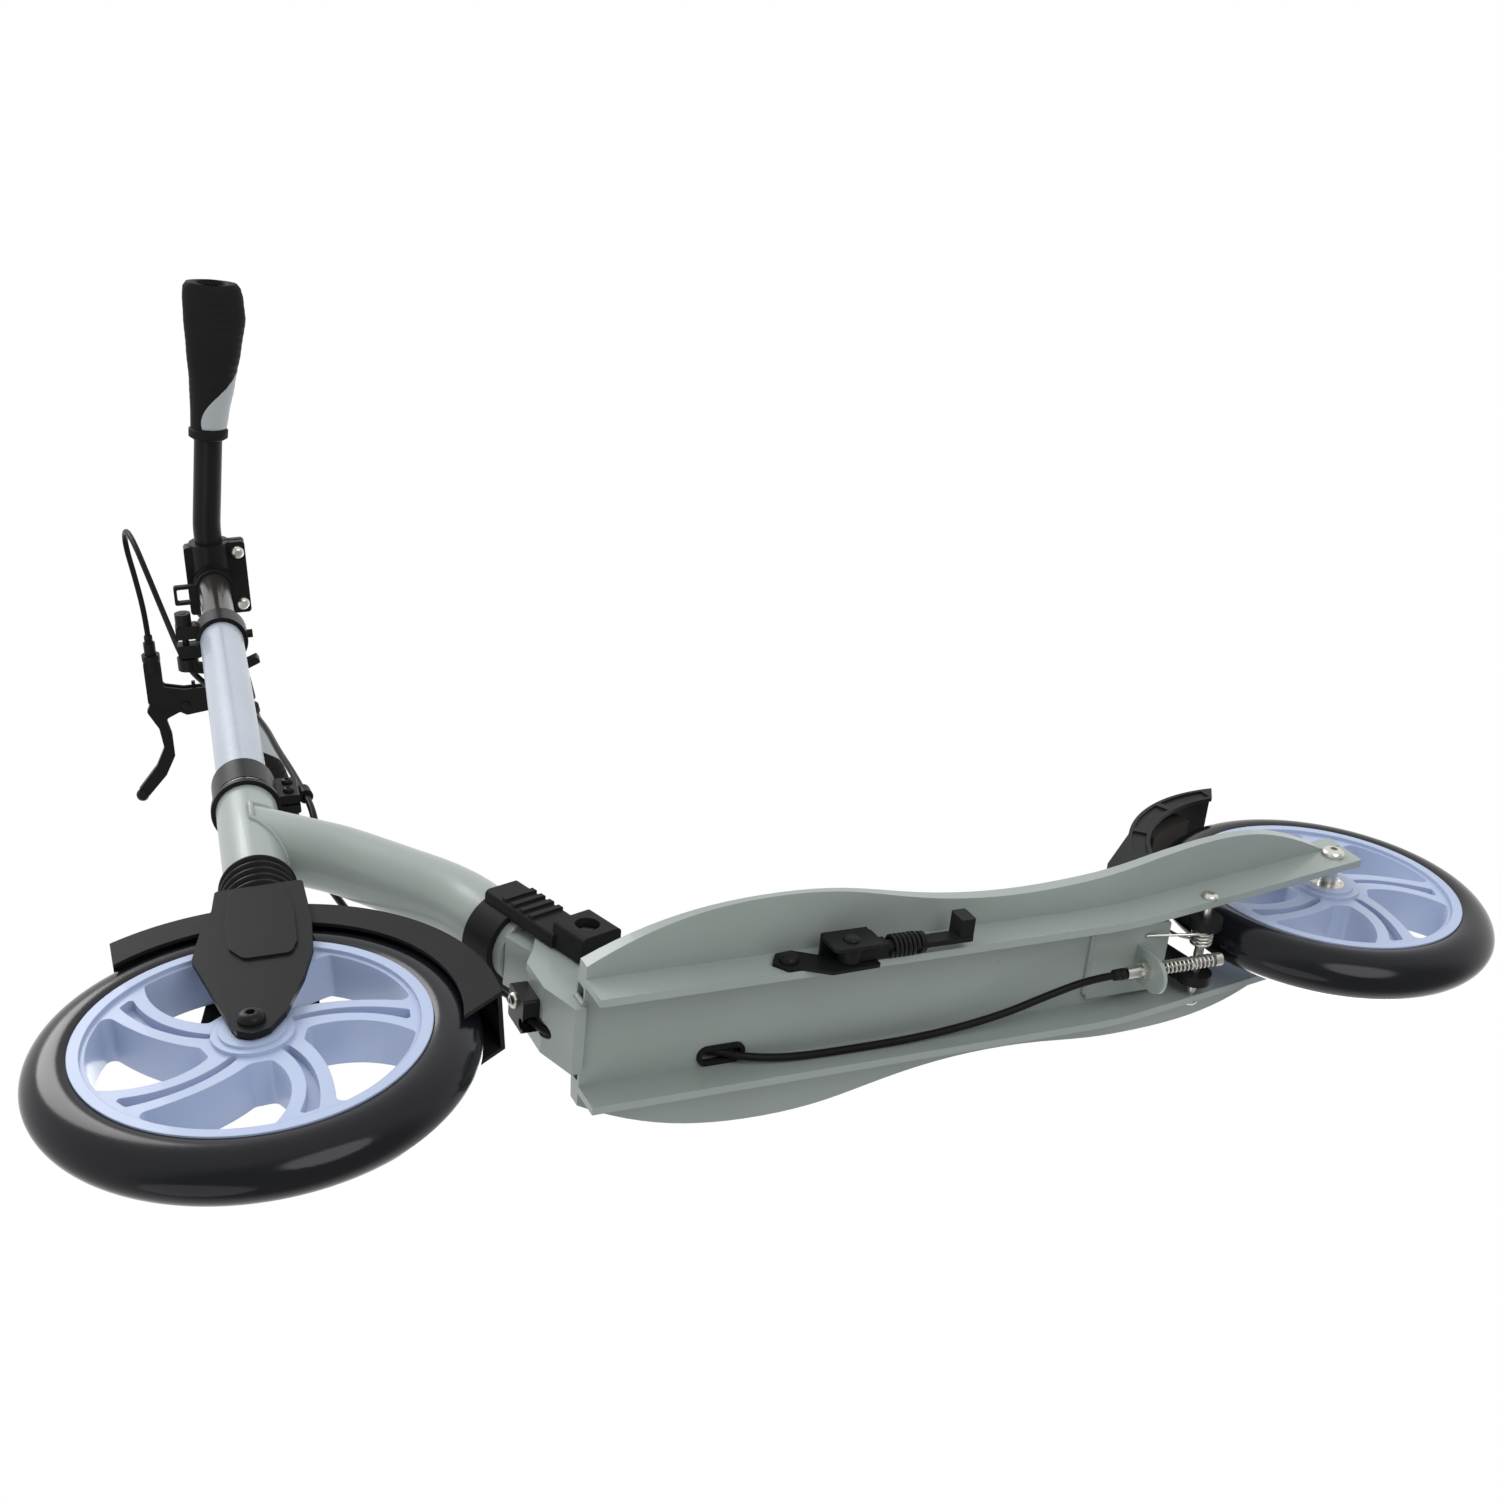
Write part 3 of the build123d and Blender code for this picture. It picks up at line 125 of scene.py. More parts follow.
# ------------------------------------------------------------------ shader graph
class Wire:
    """One shader socket that can be added, multiplied and compared like a number."""

    def __init__(self, graph: "Graph", socket: bpy.types.NodeSocket) -> None:
        self.graph = graph
        self.socket = socket

    def _with(self, operation: str, other: "Wire | float", swapped: bool = False) -> "Wire":
        pair = (other, self) if swapped else (self, other)
        return self.graph.add("ShaderNodeMath", {"operation": operation}, {0: pair[0], 1: pair[1]})

    def __add__(self, other: "Wire | float") -> "Wire":
        return self._with("ADD", other)

    def __radd__(self, other: float) -> "Wire":
        return self._with("ADD", other, swapped=True)

    def __sub__(self, other: "Wire | float") -> "Wire":
        return self._with("SUBTRACT", other)

    def __rsub__(self, other: float) -> "Wire":
        return self._with("SUBTRACT", other, swapped=True)

    def __mul__(self, other: "Wire | float") -> "Wire":
        return self._with("MULTIPLY", other)

    def __rmul__(self, other: float) -> "Wire":
        return self._with("MULTIPLY", other, swapped=True)

    def __truediv__(self, other: "Wire | float") -> "Wire":
        return self._with("DIVIDE", other)

    def __rtruediv__(self, other: float) -> "Wire":
        return self._with("DIVIDE", other, swapped=True)

    def sine(self) -> "Wire":
        """The sine of this value, in radians."""
        return self.graph.add("ShaderNodeMath", {"operation": "SINE"}, {0: self})

    def between(self, low: float, high: float) -> "Wire":
        """A smooth step from 0 at low to 1 at high."""
        return self.graph.add(
            "ShaderNodeMapRange", {"interpolation_type": "SMOOTHSTEP"}, {0: self, 1: low, 2: high}
        )


class Graph:
    """A material's node tree, built through one method."""

    def __init__(self, name: str) -> None:
        self.material = bpy.data.materials.new(name)
        self.material.use_nodes = True
        self.tree = self.material.node_tree
        self.tree.nodes.clear()

    def add(self, kind: str, settings: dict | None = None, inputs: dict | None = None,
            output: int | str = 0) -> Wire:
        """Adds a node and fills its inputs.

        Args:
            kind: the node's type name.
            settings: attributes set on the node.
            inputs: input index or name to a wire or a constant.
            output: the output to return.

        Returns:
            A wire from that output.
        """
        node = self.tree.nodes.new(kind)
        for key, value in (settings or {}).items():
            setattr(node, key, value)
        for key, value in (inputs or {}).items():
            self.plug(value, node.inputs[key])
        return Wire(self, node.outputs[output]) if len(node.outputs) else Wire(self, node.inputs[0])

    def plug(self, value: "Wire | float | tuple", socket: bpy.types.NodeSocket) -> None:
        """Links a wire to a socket, or sets a constant on it."""
        if isinstance(value, Wire):
            self.tree.links.new(value.socket, socket)
        elif isinstance(value, tuple) and len(value) == 3 and socket.type == "RGBA":
            socket.default_value = (*value, 1.0)
        else:
            socket.default_value = value

    def place(self) -> Wire:
        """The shaded point in the object's own frame, in metres."""
        return self.add("ShaderNodeTexCoord", output="Object")

    def stretched(self, scale: tuple[float, float, float]) -> Wire:
        """The shaded point scaled along each axis."""
        return self.add("ShaderNodeMapping", inputs={"Vector": self.place(), "Scale": scale})

    def noise(self, scale: float, detail: float = 3.0, at: Wire | None = None) -> Wire:
        """Fractal noise from 0 to 1, with scale in features per metre."""
        inputs = {"Vector": at or self.place(), "Scale": scale, "Detail": detail}
        return self.add("ShaderNodeTexNoise", {}, inputs)

    def cells(self, scale: float) -> Wire:
        """Distance to the middle of the nearest cell."""
        return self.add("ShaderNodeTexVoronoi", {}, {"Vector": self.place(), "Scale": scale}, "Distance")

    def mix(self, low: tuple, high: tuple, factor: Wire) -> Wire:
        """A blend between two colours."""
        return self.add("ShaderNodeMix", {"data_type": "RGBA"}, {0: factor, 6: low, 7: high}, 2)

    def rounded(self, radius: float) -> Wire:
        """A normal that softens the edges of a solid."""
        return self.add("ShaderNodeBevel", {"samples": 3}, {"Radius": radius})

    def bump(self, height: Wire, depth: float, normal: Wire | None = None) -> Wire:
        """A bumped normal from a height in units of depth."""
        inputs = {"Height": height, "Distance": depth, "Strength": 1.0}
        if normal is not None:
            inputs["Normal"] = normal
        return self.add("ShaderNodeBump", {}, inputs)


def shade(colour: tuple[float, float, float], factor: float) -> tuple[float, float, float]:
    """The colour made lighter or darker."""
    return tuple(min(1.0, channel * factor) for channel in colour)


# ------------------------------------------------------------------ finishes
@dataclass(frozen=True)
class Finish:
    """A surface finish; the subclasses differ in relief and tint."""

    name: str
    colour: tuple[float, float, float]
    roughness: float = 0.4
    edge: float = 0.0004

    metallic = 0.0
    coat = 0.0
    shine = 0.5
    variation = 0.1

    def tint(self, graph: Graph) -> Wire:
        """Slow uneven colour over the surface."""
        low, high = shade(self.colour, 1 - self.variation), shade(self.colour, 1 + self.variation)
        return graph.mix(low, high, graph.noise(14.0, 4.0).between(0.3, 0.7))

    def relief(self, graph: Graph, normal: Wire) -> Wire:
        """The fine bumps of the surface."""
        return graph.bump(graph.noise(900.0), 0.00002, normal)

    def gloss(self, graph: Graph) -> Wire:
        """The roughness, uneven as if handled."""
        return self.roughness + (graph.noise(45.0, 5.0) - 0.5) * 0.12

    def build(self) -> bpy.types.Material:
        """Makes the material.

        Returns:
            The finished material.
        """
        graph = Graph(self.name)
        inputs = {
            "Base Color": self.tint(graph),
            "Roughness": self.gloss(graph),
            "Metallic": self.metallic,
            "Coat Weight": self.coat,
            "Specular IOR Level": self.shine,
            "Normal": self.relief(graph, graph.rounded(self.edge)),
        }
        surface = graph.add("ShaderNodeBsdfPrincipled", {}, inputs)
        graph.add("ShaderNodeOutputMaterial", {}, {"Surface": surface})
        return graph.material


@dataclass(frozen=True)
class Paint(Finish):
    """Sprayed paint with orange peel, under a clear coat."""

    coat = 0.12
    shine = 0.35
    variation = 0.03

    def relief(self, graph: Graph, normal: Wire) -> Wire:
        """Orange peel: shallow soft waves about a millimetre across."""
        return graph.bump(graph.noise(620.0, 2.0), 0.000012, normal)


@dataclass(frozen=True)
class Plated(Finish):
    """Plated or bare metal with fine drawn lines."""

    metallic = 1.0

    def gloss(self, graph: Graph) -> Wire:
        """Streaky roughness."""
        streaks = graph.noise(60.0, 4.0, graph.stretched((3.0, 40.0, 3.0)))
        return self.roughness + (streaks - 0.5) * 0.2

    def relief(self, graph: Graph, normal: Wire) -> Wire:
        """Drawn lines a tenth of a millimetre wide."""
        return graph.bump(graph.noise(80.0, 3.0, graph.stretched((4.0, 60.0, 4.0))), 0.00001, normal)


@dataclass(frozen=True)
class Anodised(Finish):
    """Black satin metal with a fine blasted grain."""

    metallic = 0.2
    shine = 0.12

    def relief(self, graph: Graph, normal: Wire) -> Wire:
        """Blasted grain."""
        return graph.bump(graph.noise(2200.0, 2.0), 0.000015, normal)


@dataclass(frozen=True)
class Moulded(Finish):
    """Moulded plastic or rubber with a leathery spark-eroded grain."""

    grain: float = 0.00004

    shine = 0.07

    def relief(self, graph: Graph, normal: Wire) -> Wire:
        """The mould's grain."""
        return graph.bump(graph.cells(1500.0) + graph.noise(700.0) * 0.5, self.grain, normal)


@dataclass(frozen=True)
class GripSheet(Finish):
    """A gritty anti-slip sheet."""

    def tint(self, graph: Graph) -> Wire:
        """Dark sheet with paler grit."""
        grit = graph.cells(1100.0).between(0.35, 0.8)
        return graph.mix(shade(self.colour, 0.6), shade(self.colour, 2.2), grit)

    def relief(self, graph: Graph, normal: Wire) -> Wire:
        """Grit standing proud."""
        return graph.bump(graph.cells(1100.0), 0.0003, normal)


@dataclass(frozen=True)
class Polyurethane(Finish):
    """A glossy cast tyre with faint turned rings about its own axle."""

    middle: tuple[float, float, float] = (0.0, 0.0, 0.0)
    axle: tuple[float, float, float] = (0.0, 1.0, 0.0)

    coat = 0.08
    shine = 0.2

    def radius(self, graph: Graph) -> Wire:
        """Distance from the axle's line, in metres."""
        arm = graph.add("ShaderNodeVectorMath", {"operation": "SUBTRACT"}, {0: graph.place(), 1: self.middle})
        across = graph.add("ShaderNodeVectorMath", {"operation": "CROSS_PRODUCT"}, {0: arm, 1: self.axle})
        return graph.add("ShaderNodeVectorMath", {"operation": "LENGTH"}, {0: across}, "Value")

    def relief(self, graph: Graph, normal: Wire) -> Wire:
        """Turned rings, two to the millimetre, and slow casting waves."""
        rings = (self.radius(graph) * 12000.0).sine() * 0.25
        return graph.bump(rings + graph.noise(120.0, 2.0) * 1.5, 0.00001, normal)


class Look(Enum):
    """Every finish that doesn't depend on where a piece stands."""

    FRAME = Paint("frame_paint", (0.283, 0.322, 0.304), 0.3)
    STEM = Paint("stem_paint", (0.385, 0.43, 0.50), 0.28)
    RIM = Paint("rim_paint", (0.37, 0.44, 0.61), 0.36, 0.0008)
    ALLOY = Anodised("black_alloy", (0.012, 0.0125, 0.013), 0.34)
    MAST = Paint("mast_black", (0.024, 0.020, 0.017), 0.2)
    POWDER = Moulded("powder_coat", (0.011, 0.0115, 0.012), 0.38, 0.0006, 0.00002)
    PLASTIC = Moulded("black_plastic", (0.014, 0.0143, 0.015), 0.4, 0.0006, 0.00003)
    BELLOWS = Moulded("bellows_rubber", (0.009, 0.009, 0.0095), 0.26, 0.0004, 0.00002)
    RUBBER = Moulded("soft_rubber", (0.013, 0.013, 0.0135), 0.58, 0.0006, 0.00006)
    ACCENT = Moulded("grey_rubber", (0.42, 0.45, 0.47), 0.5, 0.0004, 0.00004)
    SHEET = GripSheet("grip_sheet", (0.035, 0.035, 0.036), 0.85)
    ZINC = Plated("zinc_plate", (0.62, 0.61, 0.57), 0.3)
    CHROME = Plated("bright_chrome", (0.78, 0.78, 0.79), 0.1)
    WELD = Paint("painted_weld", (0.27, 0.307, 0.29), 0.34)
    CABLE = Moulded("cable_jacket", (0.010, 0.010, 0.011), 0.32, 0.0003, 0.00001)
    PAD = Moulded("brake_pad", (0.05, 0.045, 0.04), 0.8, 0.0005, 0.0001)


CAD_LOOKS: dict[Look, tuple[str, ...]] = {
    Look.FRAME: ("deck", "neck_bracket", "hinge_lug", "downtube", "head_tube", "cable_bridge"),
    Look.STEM: ("steering_tube",),
    Look.RIM: ("front_rim", "rear_rim"),
    Look.ALLOY: ("upper_collar", "lower_collar", "bar_clamp", "handlebar", "headset_cups", "clamp_lever",
                 "brake_lever", "cable_guide", "stand_pins", "stand_spring", "lever_screws", "front_axle",
                 "clamp_bolt", "lower_collar_bolts"),
    Look.MAST: ("mast_tube",),
    Look.POWDER: ("fork_leg_left", "fork_leg_right", "fork_crown", "stand_bracket", "stand_leg"),
    Look.PLASTIC: ("front_mudguard", "rear_fender", "lever_perch", "strap_eye", "cable_clip",
                   "latch_sleeve"),
    Look.RUBBER: ("cable_grommet",),
    Look.BELLOWS: ("suspension_bellows",),
    Look.SHEET: ("grip_sheet",),
    Look.ZINC: ("rear_axle", "front_bearings", "rear_bearings", "hinge_pin", "fender_hinge_pin",
                "cable_guide_bolt", "torsion_spring", "return_spring", "rear_adjuster", "bar_clamp_bolts",
                "suspension_spring", "latch_screw"),
    Look.CHROME: ("steerer_tube",),
    Look.PAD: ("brake_pad",),
}


class Wardrobe:
    """Builds each finish once and dresses the pieces with it."""

    def __init__(self) -> None:
        self.made: dict[str, bpy.types.Material] = {}

    def material(self, finish: Finish) -> bpy.types.Material:
        """The finish's material, made on first use.

        Args:
            finish: the finish wanted.

        Returns:
            Its material.
        """
        if finish.name not in self.made:
            self.made[finish.name] = finish.build()
        return self.made[finish.name]

    def dress(self, piece: bpy.types.Object, finish: Finish) -> None:
        """Puts a finish on a piece."""
        piece.data.materials.clear()
        piece.data.materials.append(self.material(finish))

    def dress_solids(self, record: dict) -> None:
        """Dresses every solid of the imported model.

        Args:
            record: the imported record, for the wheels' axles.
        """
        joints = {joint["name"]: joint for joint in record["behaviour"]["joints"]}
        for look, names in CAD_LOOKS.items():
            for name in names:
                self.dress(frame["nodes"][name], look.value)
        for wheel in ("front", "rear"):
            spin = joints[f"{wheel}_wheel_spin"]
            tyre = Polyurethane(f"{wheel}_polyurethane", (0.006, 0.0065, 0.009), 0.16, 0.0003,
                                tuple(spin["pos_m"]), tuple(spin["axis"]))
            self.dress(frame["nodes"][f"{wheel}_tyre"], tyre)


# ------------------------------------------------------------------ mesh makers
def skin(name: str, rings: list[list[Vector]], closed: bool = True) -> bpy.types.Object:
    """A smooth skin over rings of points, with its ends capped.

    Args:
        name: the piece's name.
        rings: rings with the same number of points each.
        closed: whether the two ends are capped.

    Returns:
        The new piece.
    """
    count = len(rings[0])
    points = [point for ring in rings for point in ring]
    faces = [
        (row * count + step, row * count + (step + 1) % count,
         (row + 1) * count + (step + 1) % count, (row + 1) * count + step)
        for row in range(len(rings) - 1) for step in range(count)
    ]
    if closed:
        faces.append(tuple(reversed(range(count))))
        faces.append(tuple((len(rings) - 1) * count + step for step in range(count)))
    mesh = bpy.data.meshes.new(name)
    mesh.from_pydata(points, [], faces)
    mesh.update()
    piece = bpy.data.objects.new(name, mesh)
    bpy.context.collection.objects.link(piece)
    for polygon in mesh.polygons:
        polygon.use_smooth = len(polygon.vertices) == 4
    return piece


def turned_rings(start: Vector, axis: Vector, profile: list[tuple[float, float]],
                 steps: int) -> list[list[Vector]]:
    """The rings of a lathed shape.

    Args:
        start: where the profile's zero lies, in metres.
        axis: the direction of the lathe's axis.
        profile: (along, radius) pairs in millimetres.
        steps: points round the axis.

    Returns:
        One ring of points for each pair.
    """
    along = axis.normalized()
    side = along.orthogonal().normalized()
    other = along.cross(side)
    turns = [2 * math.pi * step / steps for step in range(steps)]
    return [
        [start + (along * distance + (side * math.cos(turn) + other * math.sin(turn)) * radius) * MM
         for turn in turns]
        for distance, radius in profile
    ]


def turned(name: str, start: Vector, axis: Vector, profile: list[tuple[float, float]],
           steps: int = 40) -> bpy.types.Object:
    """A lathed piece.

    Args:
        name: the piece's name.
        start: where the profile's zero lies, in metres.
        axis: the direction of the lathe's axis.
        profile: (along, radius) pairs in millimetres.
        steps: points round the axis.

    Returns:
        The new piece.
    """
    return skin(name, turned_rings(start, axis, profile, steps))


def tube_along(name: str, points: list[Vector], radius: float) -> bpy.types.Object:
    """A round smooth tube along a route.

    Args:
        name: the piece's name.
        points: the route's control points, in metres.
        radius: the tube's radius in metres.

    Returns:
        The tube as a mesh.
    """
    curve = bpy.data.curves.new(name + "_line", "CURVE")
    curve.dimensions = "3D"
    curve.resolution_u = 14
    curve.bevel_depth = radius
    curve.bevel_resolution = 6
    curve.use_fill_caps = True
    spline = curve.splines.new("NURBS")
    spline.points.add(len(points) - 1)
    for knot, point in zip(spline.points, points):
        knot.co = (*point, 1.0)
    spline.order_u = 3
    spline.use_endpoint_u = True
    line = bpy.data.objects.new(name + "_line", curve)
    bpy.context.collection.objects.link(line)
    mesh = bpy.data.meshes.new_from_object(line.evaluated_get(bpy.context.evaluated_depsgraph_get()))
    bpy.data.objects.remove(line)
    piece = bpy.data.objects.new(name, mesh)
    bpy.context.collection.objects.link(piece)
    for polygon in mesh.polygons:
        polygon.use_smooth = True
    return piece


# ------------------------------------------------------------------ grips
@dataclass
class Grip:
    """One winged bar grip with finger ribs, an end ring and a pale insert."""

    steering: SteeringFrame
    hand: int
    wardrobe: Wardrobe
    inner: float = 117.0
    length: float = 122.0
    sweep: float = math.atan2(25.0, 192.0)
    bar_up: float = 732.0
    steps: int = 72
    stations: tuple = ((0, 13.0, 13.0, 0), (1.5, 15.3, 15.3, 0), (7, 15.4, 15.4, 0), (8.2, 13.9, 13.9, 0),
                       (20, 14.8, 14.3, 0.6), (45, 17.5, 14.5, 2), (70, 21.0, 14.1, 2.8), (95, 23.7, 13.4, 3),
                       (112, 23.2, 13.4, 1.4), (119, 22.0, 13.0, 0.5), (122.4, 19.5, 11.9, 0.2))

    @property
    def side(self) -> str:
        """Which hand it is for."""
        return "left" if self.hand > 0 else "right"

    @property
    def outward(self) -> Vector:
        """The bar's direction away from the column."""
        return (self.steering.left * (self.hand * math.cos(self.sweep))
                - self.steering.forward * math.sin(self.sweep)).normalized()

    @property
    def rear(self) -> Vector:
        """The direction square to the bar, towards the rider."""
        return -(self.outward.cross(self.steering.up) * self.hand)

    def middle(self, along: float) -> Vector:
        """The point on the bar's line at a distance from the grip's inner end."""
        reach = self.inner + along
        return self.steering.point(-(reach - 44.0) * math.tan(self.sweep), self.hand * reach, self.bar_up)

    def bore(self, along: float, radius: float) -> list[Vector]:
        """A round ring of points about the bar at a distance, with its radius in millimetres."""
        middle, rear, up = self.middle(along), self.rear, self.steering.up
        turns = [2 * math.pi * step / self.steps for step in range(self.steps)]
        return [middle + (rear * math.cos(turn) + up * math.sin(turn)) * radius * MM for turn in turns]

    def section(self, along: float) -> tuple[float, float, float]:
        """The half width, half thickness and setback at a distance, eased between stations.

        Args:
            along: millimetres from the grip's inner end.

        Returns:
            Half width, half thickness and setback, in millimetres.
        """
        for near, far in zip(self.stations, self.stations[1:]):
            if along <= far[0]:
                share = (along - near[0]) / (far[0] - near[0])
                eased = share if far[0] < 10 else share * share * (3 - 2 * share) * 0.5 + share * 0.5
                return tuple(low + (high - low) * eased for low, high in zip(near[1:], far[1:]))
        return self.stations[-1][1:]

    def ring(self, along: float, swell: float = 0.0, first: float = 0.0, last: float = 2 * math.pi,
             steps: int | None = None) -> list[Vector]:
        """Points round the grip at one station.

        Args:
            along: millimetres from the inner end.
            swell: extra radius in millimetres.
            first: the first angle, in radians from the rear.
            last: the last angle.
            steps: how many points.

        Returns:
            The points in metres.
        """
        steps = steps or self.steps
        wide, thick, back = self.section(along)
        middle, rear = self.middle(along), self.rear
        points = []
        for step in range(steps):
            turn = first + (last - first) * step / (steps if last - first > 6.2 else steps - 1)
            ribs = 0.0
            if 26 < along < 110:
                wave = max(0.0, math.sin(along * 1.05 + 0.6 * math.cos(turn)))
                ribs = 0.28 * wave * (0.4 + abs(math.sin(turn)))
            across = (wide + swell + ribs) * math.cos(turn) + back
            rise = (thick + swell + ribs) * math.sin(turn)
            points.append(middle + rear * across * MM + self.steering.up * rise * MM)
        return points

    def insert(self) -> bpy.types.Object:
        """The pale insert: a drop shape wrapping the rear and underside near the inner end."""
        rings = []
        for step in range(28):
            share = step / 27
            along = 9.6 + 46.0 * share
            spread = 1.5 * math.sin(math.pi * min(0.97, 0.14 + share * 0.86)) ** 0.6 * (1 - 0.72 * share)
            middle = -1.05 + 0.95 * share
            edge = self.ring(along, 0.35, middle - spread, middle + spread, 20)
            under = self.ring(along, -0.6, middle - spread, middle + spread, 20)
            rings.append(edge + list(reversed(under)))
        return skin(f"grip_insert_{self.side}", rings)

    def build(self) -> None:
        """Makes the grip, open at its outer end, and its insert."""
        marks = [0, 0.5, 1.0, 1.5, 3, 5, 7, 7.6, 8.2, 9, 12, 16, 20, 24]
        marks += [26 + step * 0.75 for step in range(112)] + [111, 113, 115, 117, 119, 120.4, 121.5, 122.4]
        inside = self.bore(0.0, 11.1)
        rings = [inside, *(self.ring(mark) for mark in marks)]
        rings += [self.bore(self.length + 0.4, 12.4), self.bore(self.length - 0.3, 11.2), inside]
        body = skin(f"grip_{self.side}_body", rings, closed=False)
        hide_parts(f"grip_{self.side}")
        self.wardrobe.dress(body, Look.RUBBER.value)
        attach(body, "mast")
        insert = self.insert()
        self.wardrobe.dress(insert, Look.ACCENT.value)
        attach(insert, "mast")


# ------------------------------------------------------------------ suspension
@dataclass
class Suspension:
    """The fork's rubber bellows and the spring inside it."""

    steering: SteeringFrame
    wardrobe: Wardrobe
    foot: float = 143.0
    tall: float = 39.0
    travel: float = 12.0
    folds: int = 5
    valley: float = 20.0
    crest: float = 22.95

    def bellows(self) -> bpy.types.Object:
        """The bellows: round folds, with a lip turned in at each end."""
        per_fold = 12
        profile = [(0.0, 18.0), (0.02, 19.6)]
        for step in range(self.folds * per_fold + 1):
            swell = abs(math.sin(math.pi * step / per_fold))
            along = self.tall * step / (self.folds * per_fold)
            profile.append((along, self.valley + (self.crest - self.valley) * swell))
        profile += [(self.tall - 0.02, 18.4), (self.tall - 0.04, 18.0), (0.0, 18.0)]
        foot = self.steering.point(0, 0, self.foot)
        return skin("fork_bellows", turned_rings(foot, self.steering.up, profile, 72), closed=False)

    def spring(self) -> bpy.types.Object:
        """The coil spring."""
        turns, start, rise, radius = 6, self.foot + 1.7, 35.8, 10.8
        points = []
        for step in range(turns * 16 + 1):
            turn = 2 * math.pi * step / 16
            points.append(self.steering.point(radius * math.cos(turn), radius * math.sin(turn),
                                              start + rise * step / (turns * 16)))
        return tube_along("fork_spring", points, 1.6 * MM)

    def build(self) -> None:
        """Makes both and puts them on the fork."""
        parts = ((self.bellows(), "suspension_bellows", Look.BELLOWS),
                 (self.spring(), "suspension_spring", Look.ZINC))
        for piece, node, look in parts:
            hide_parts(node)
            self.wardrobe.dress(piece, look.value)
            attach(piece, "fork")
            tuple(self.steering.point(0, 0, self.foot))
            1 - self.travel / self.tall
            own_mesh(piece)


# ------------------------------------------------------------------ brake cable
@dataclass
class BrakeCable:
    """The brake cable's outer: from the hand lever down the column and under the deck."""

    steering: SteeringFrame
    wardrobe: Wardrobe
    radius: float = 2.3
    loop: tuple = ((57, -50.9, 732), (57, -28, 732), (61, -2, 750), (66, 24, 766), (64, 42, 752),
                   (58, 40, 724), (50, 22, 692), (41, -2.5, 664), (35, -15, 638))
    stem: tuple = ((35, -15, 638), (29.6, -26.25, 614.6), (17, -33, 585), (0, -32, 550), (-15, -27, 505),
                   (-22, -17, 450), (-26, -9, 395), (-33, -5, 345), (-38.5, -5, 304))
    neck: tuple = ((590, -26, 352), (586, -28, 318), (583, -27, 275), (575, -22, 232), (559, -13, 190),
                   (545, -6, 162))
    neck_end: tuple = (535.5, -4.5, 136)
    deck: tuple = ((535.5, -4.5, 113), (518.2, -6.5, 90.6), (470, -14, 91.3), (450, -20, 91),
                   (434, -23.6, 86.2), (419, -25, 77.5), (392, -27.6, 74.5), (352, -28, 74), (308, -27, 73),
                   (262, -21, 72), (226, -10, 70.6), (200, -4, 70), (177.4, -4, 70))
    split: int = 3

    def tube(self, name: str, points: list[Vector], replaced: str | None = None) -> bpy.types.Object:
        """One length of cable."""
        piece = tube_along(name, points, self.radius * MM)
        self.wardrobe.dress(piece, Look.CABLE.value)
        if replaced:
            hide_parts(replaced)
        return piece

    def ferrule(self, name: str, end: Vector, away: Vector, body: str) -> None:
        """A ribbed end cap on the cable.

        Args:
            name: the piece's name.
            end: where the cap's foot stands.
            away: the direction along the cable.
            body: the body it rides on.
        """
        cap = turned(name, end, away, [(0, 2.4), (0.2, 3.5), (3.0, 3.6), (3.3, 3.0), (4.0, 3.0), (4.3, 3.5),
                                       (8.0, 3.3), (8.4, 2.4)])
        self.wardrobe.dress(cap, Look.PLASTIC.value)
        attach(cap, body)

    def build(self) -> None:
        """Makes the four stretches of cable and the caps at their ends."""
        loop = self.steering.route(list(self.loop))
        piece = self.tube("brake_cable_loop", loop, "cable_loop")
        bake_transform(piece)

        stem = self.steering.route(list(self.stem))
        piece = self.tube("brake_cable_stem", stem, "cable_stem")
        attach(piece, "steerer")

        run = (stem[-1] - stem[-2]).normalized()
        neck = from_rear(list(self.neck))
        end = from_rear([self.neck_end])[0]
        meet = (neck[self.split - 1] + neck[self.split]) / 2
        upper = [stem[-1], stem[-1] + run * 0.026, *neck[:self.split], meet]
        lower = [meet, *neck[self.split:], end + Vector((0, 0, 0.009)), end]
        piece = self.tube("brake_cable_neck_upper", upper, "cable_neck")
        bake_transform(piece)
        piece = self.tube("brake_cable_neck_lower", lower)
        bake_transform(piece)

        under = [end, *from_rear(list(self.deck))]
        piece = self.tube("brake_cable_deck", under, "cable_deck")
        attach(piece, "deck")

        self.ferrule("cable_cap_lever", loop[0] - self.steering.left * 0.002, self.steering.left, "mast")
        self.ferrule("cable_cap_guide", end - Vector((0, 0, 0.0035)), Vector((0, 0, 1)), "deck")
        self.ferrule("cable_cap_adjuster", under[-1] + Vector((0.0005, 0, 0)), Vector((1, 0, 0)), "deck")


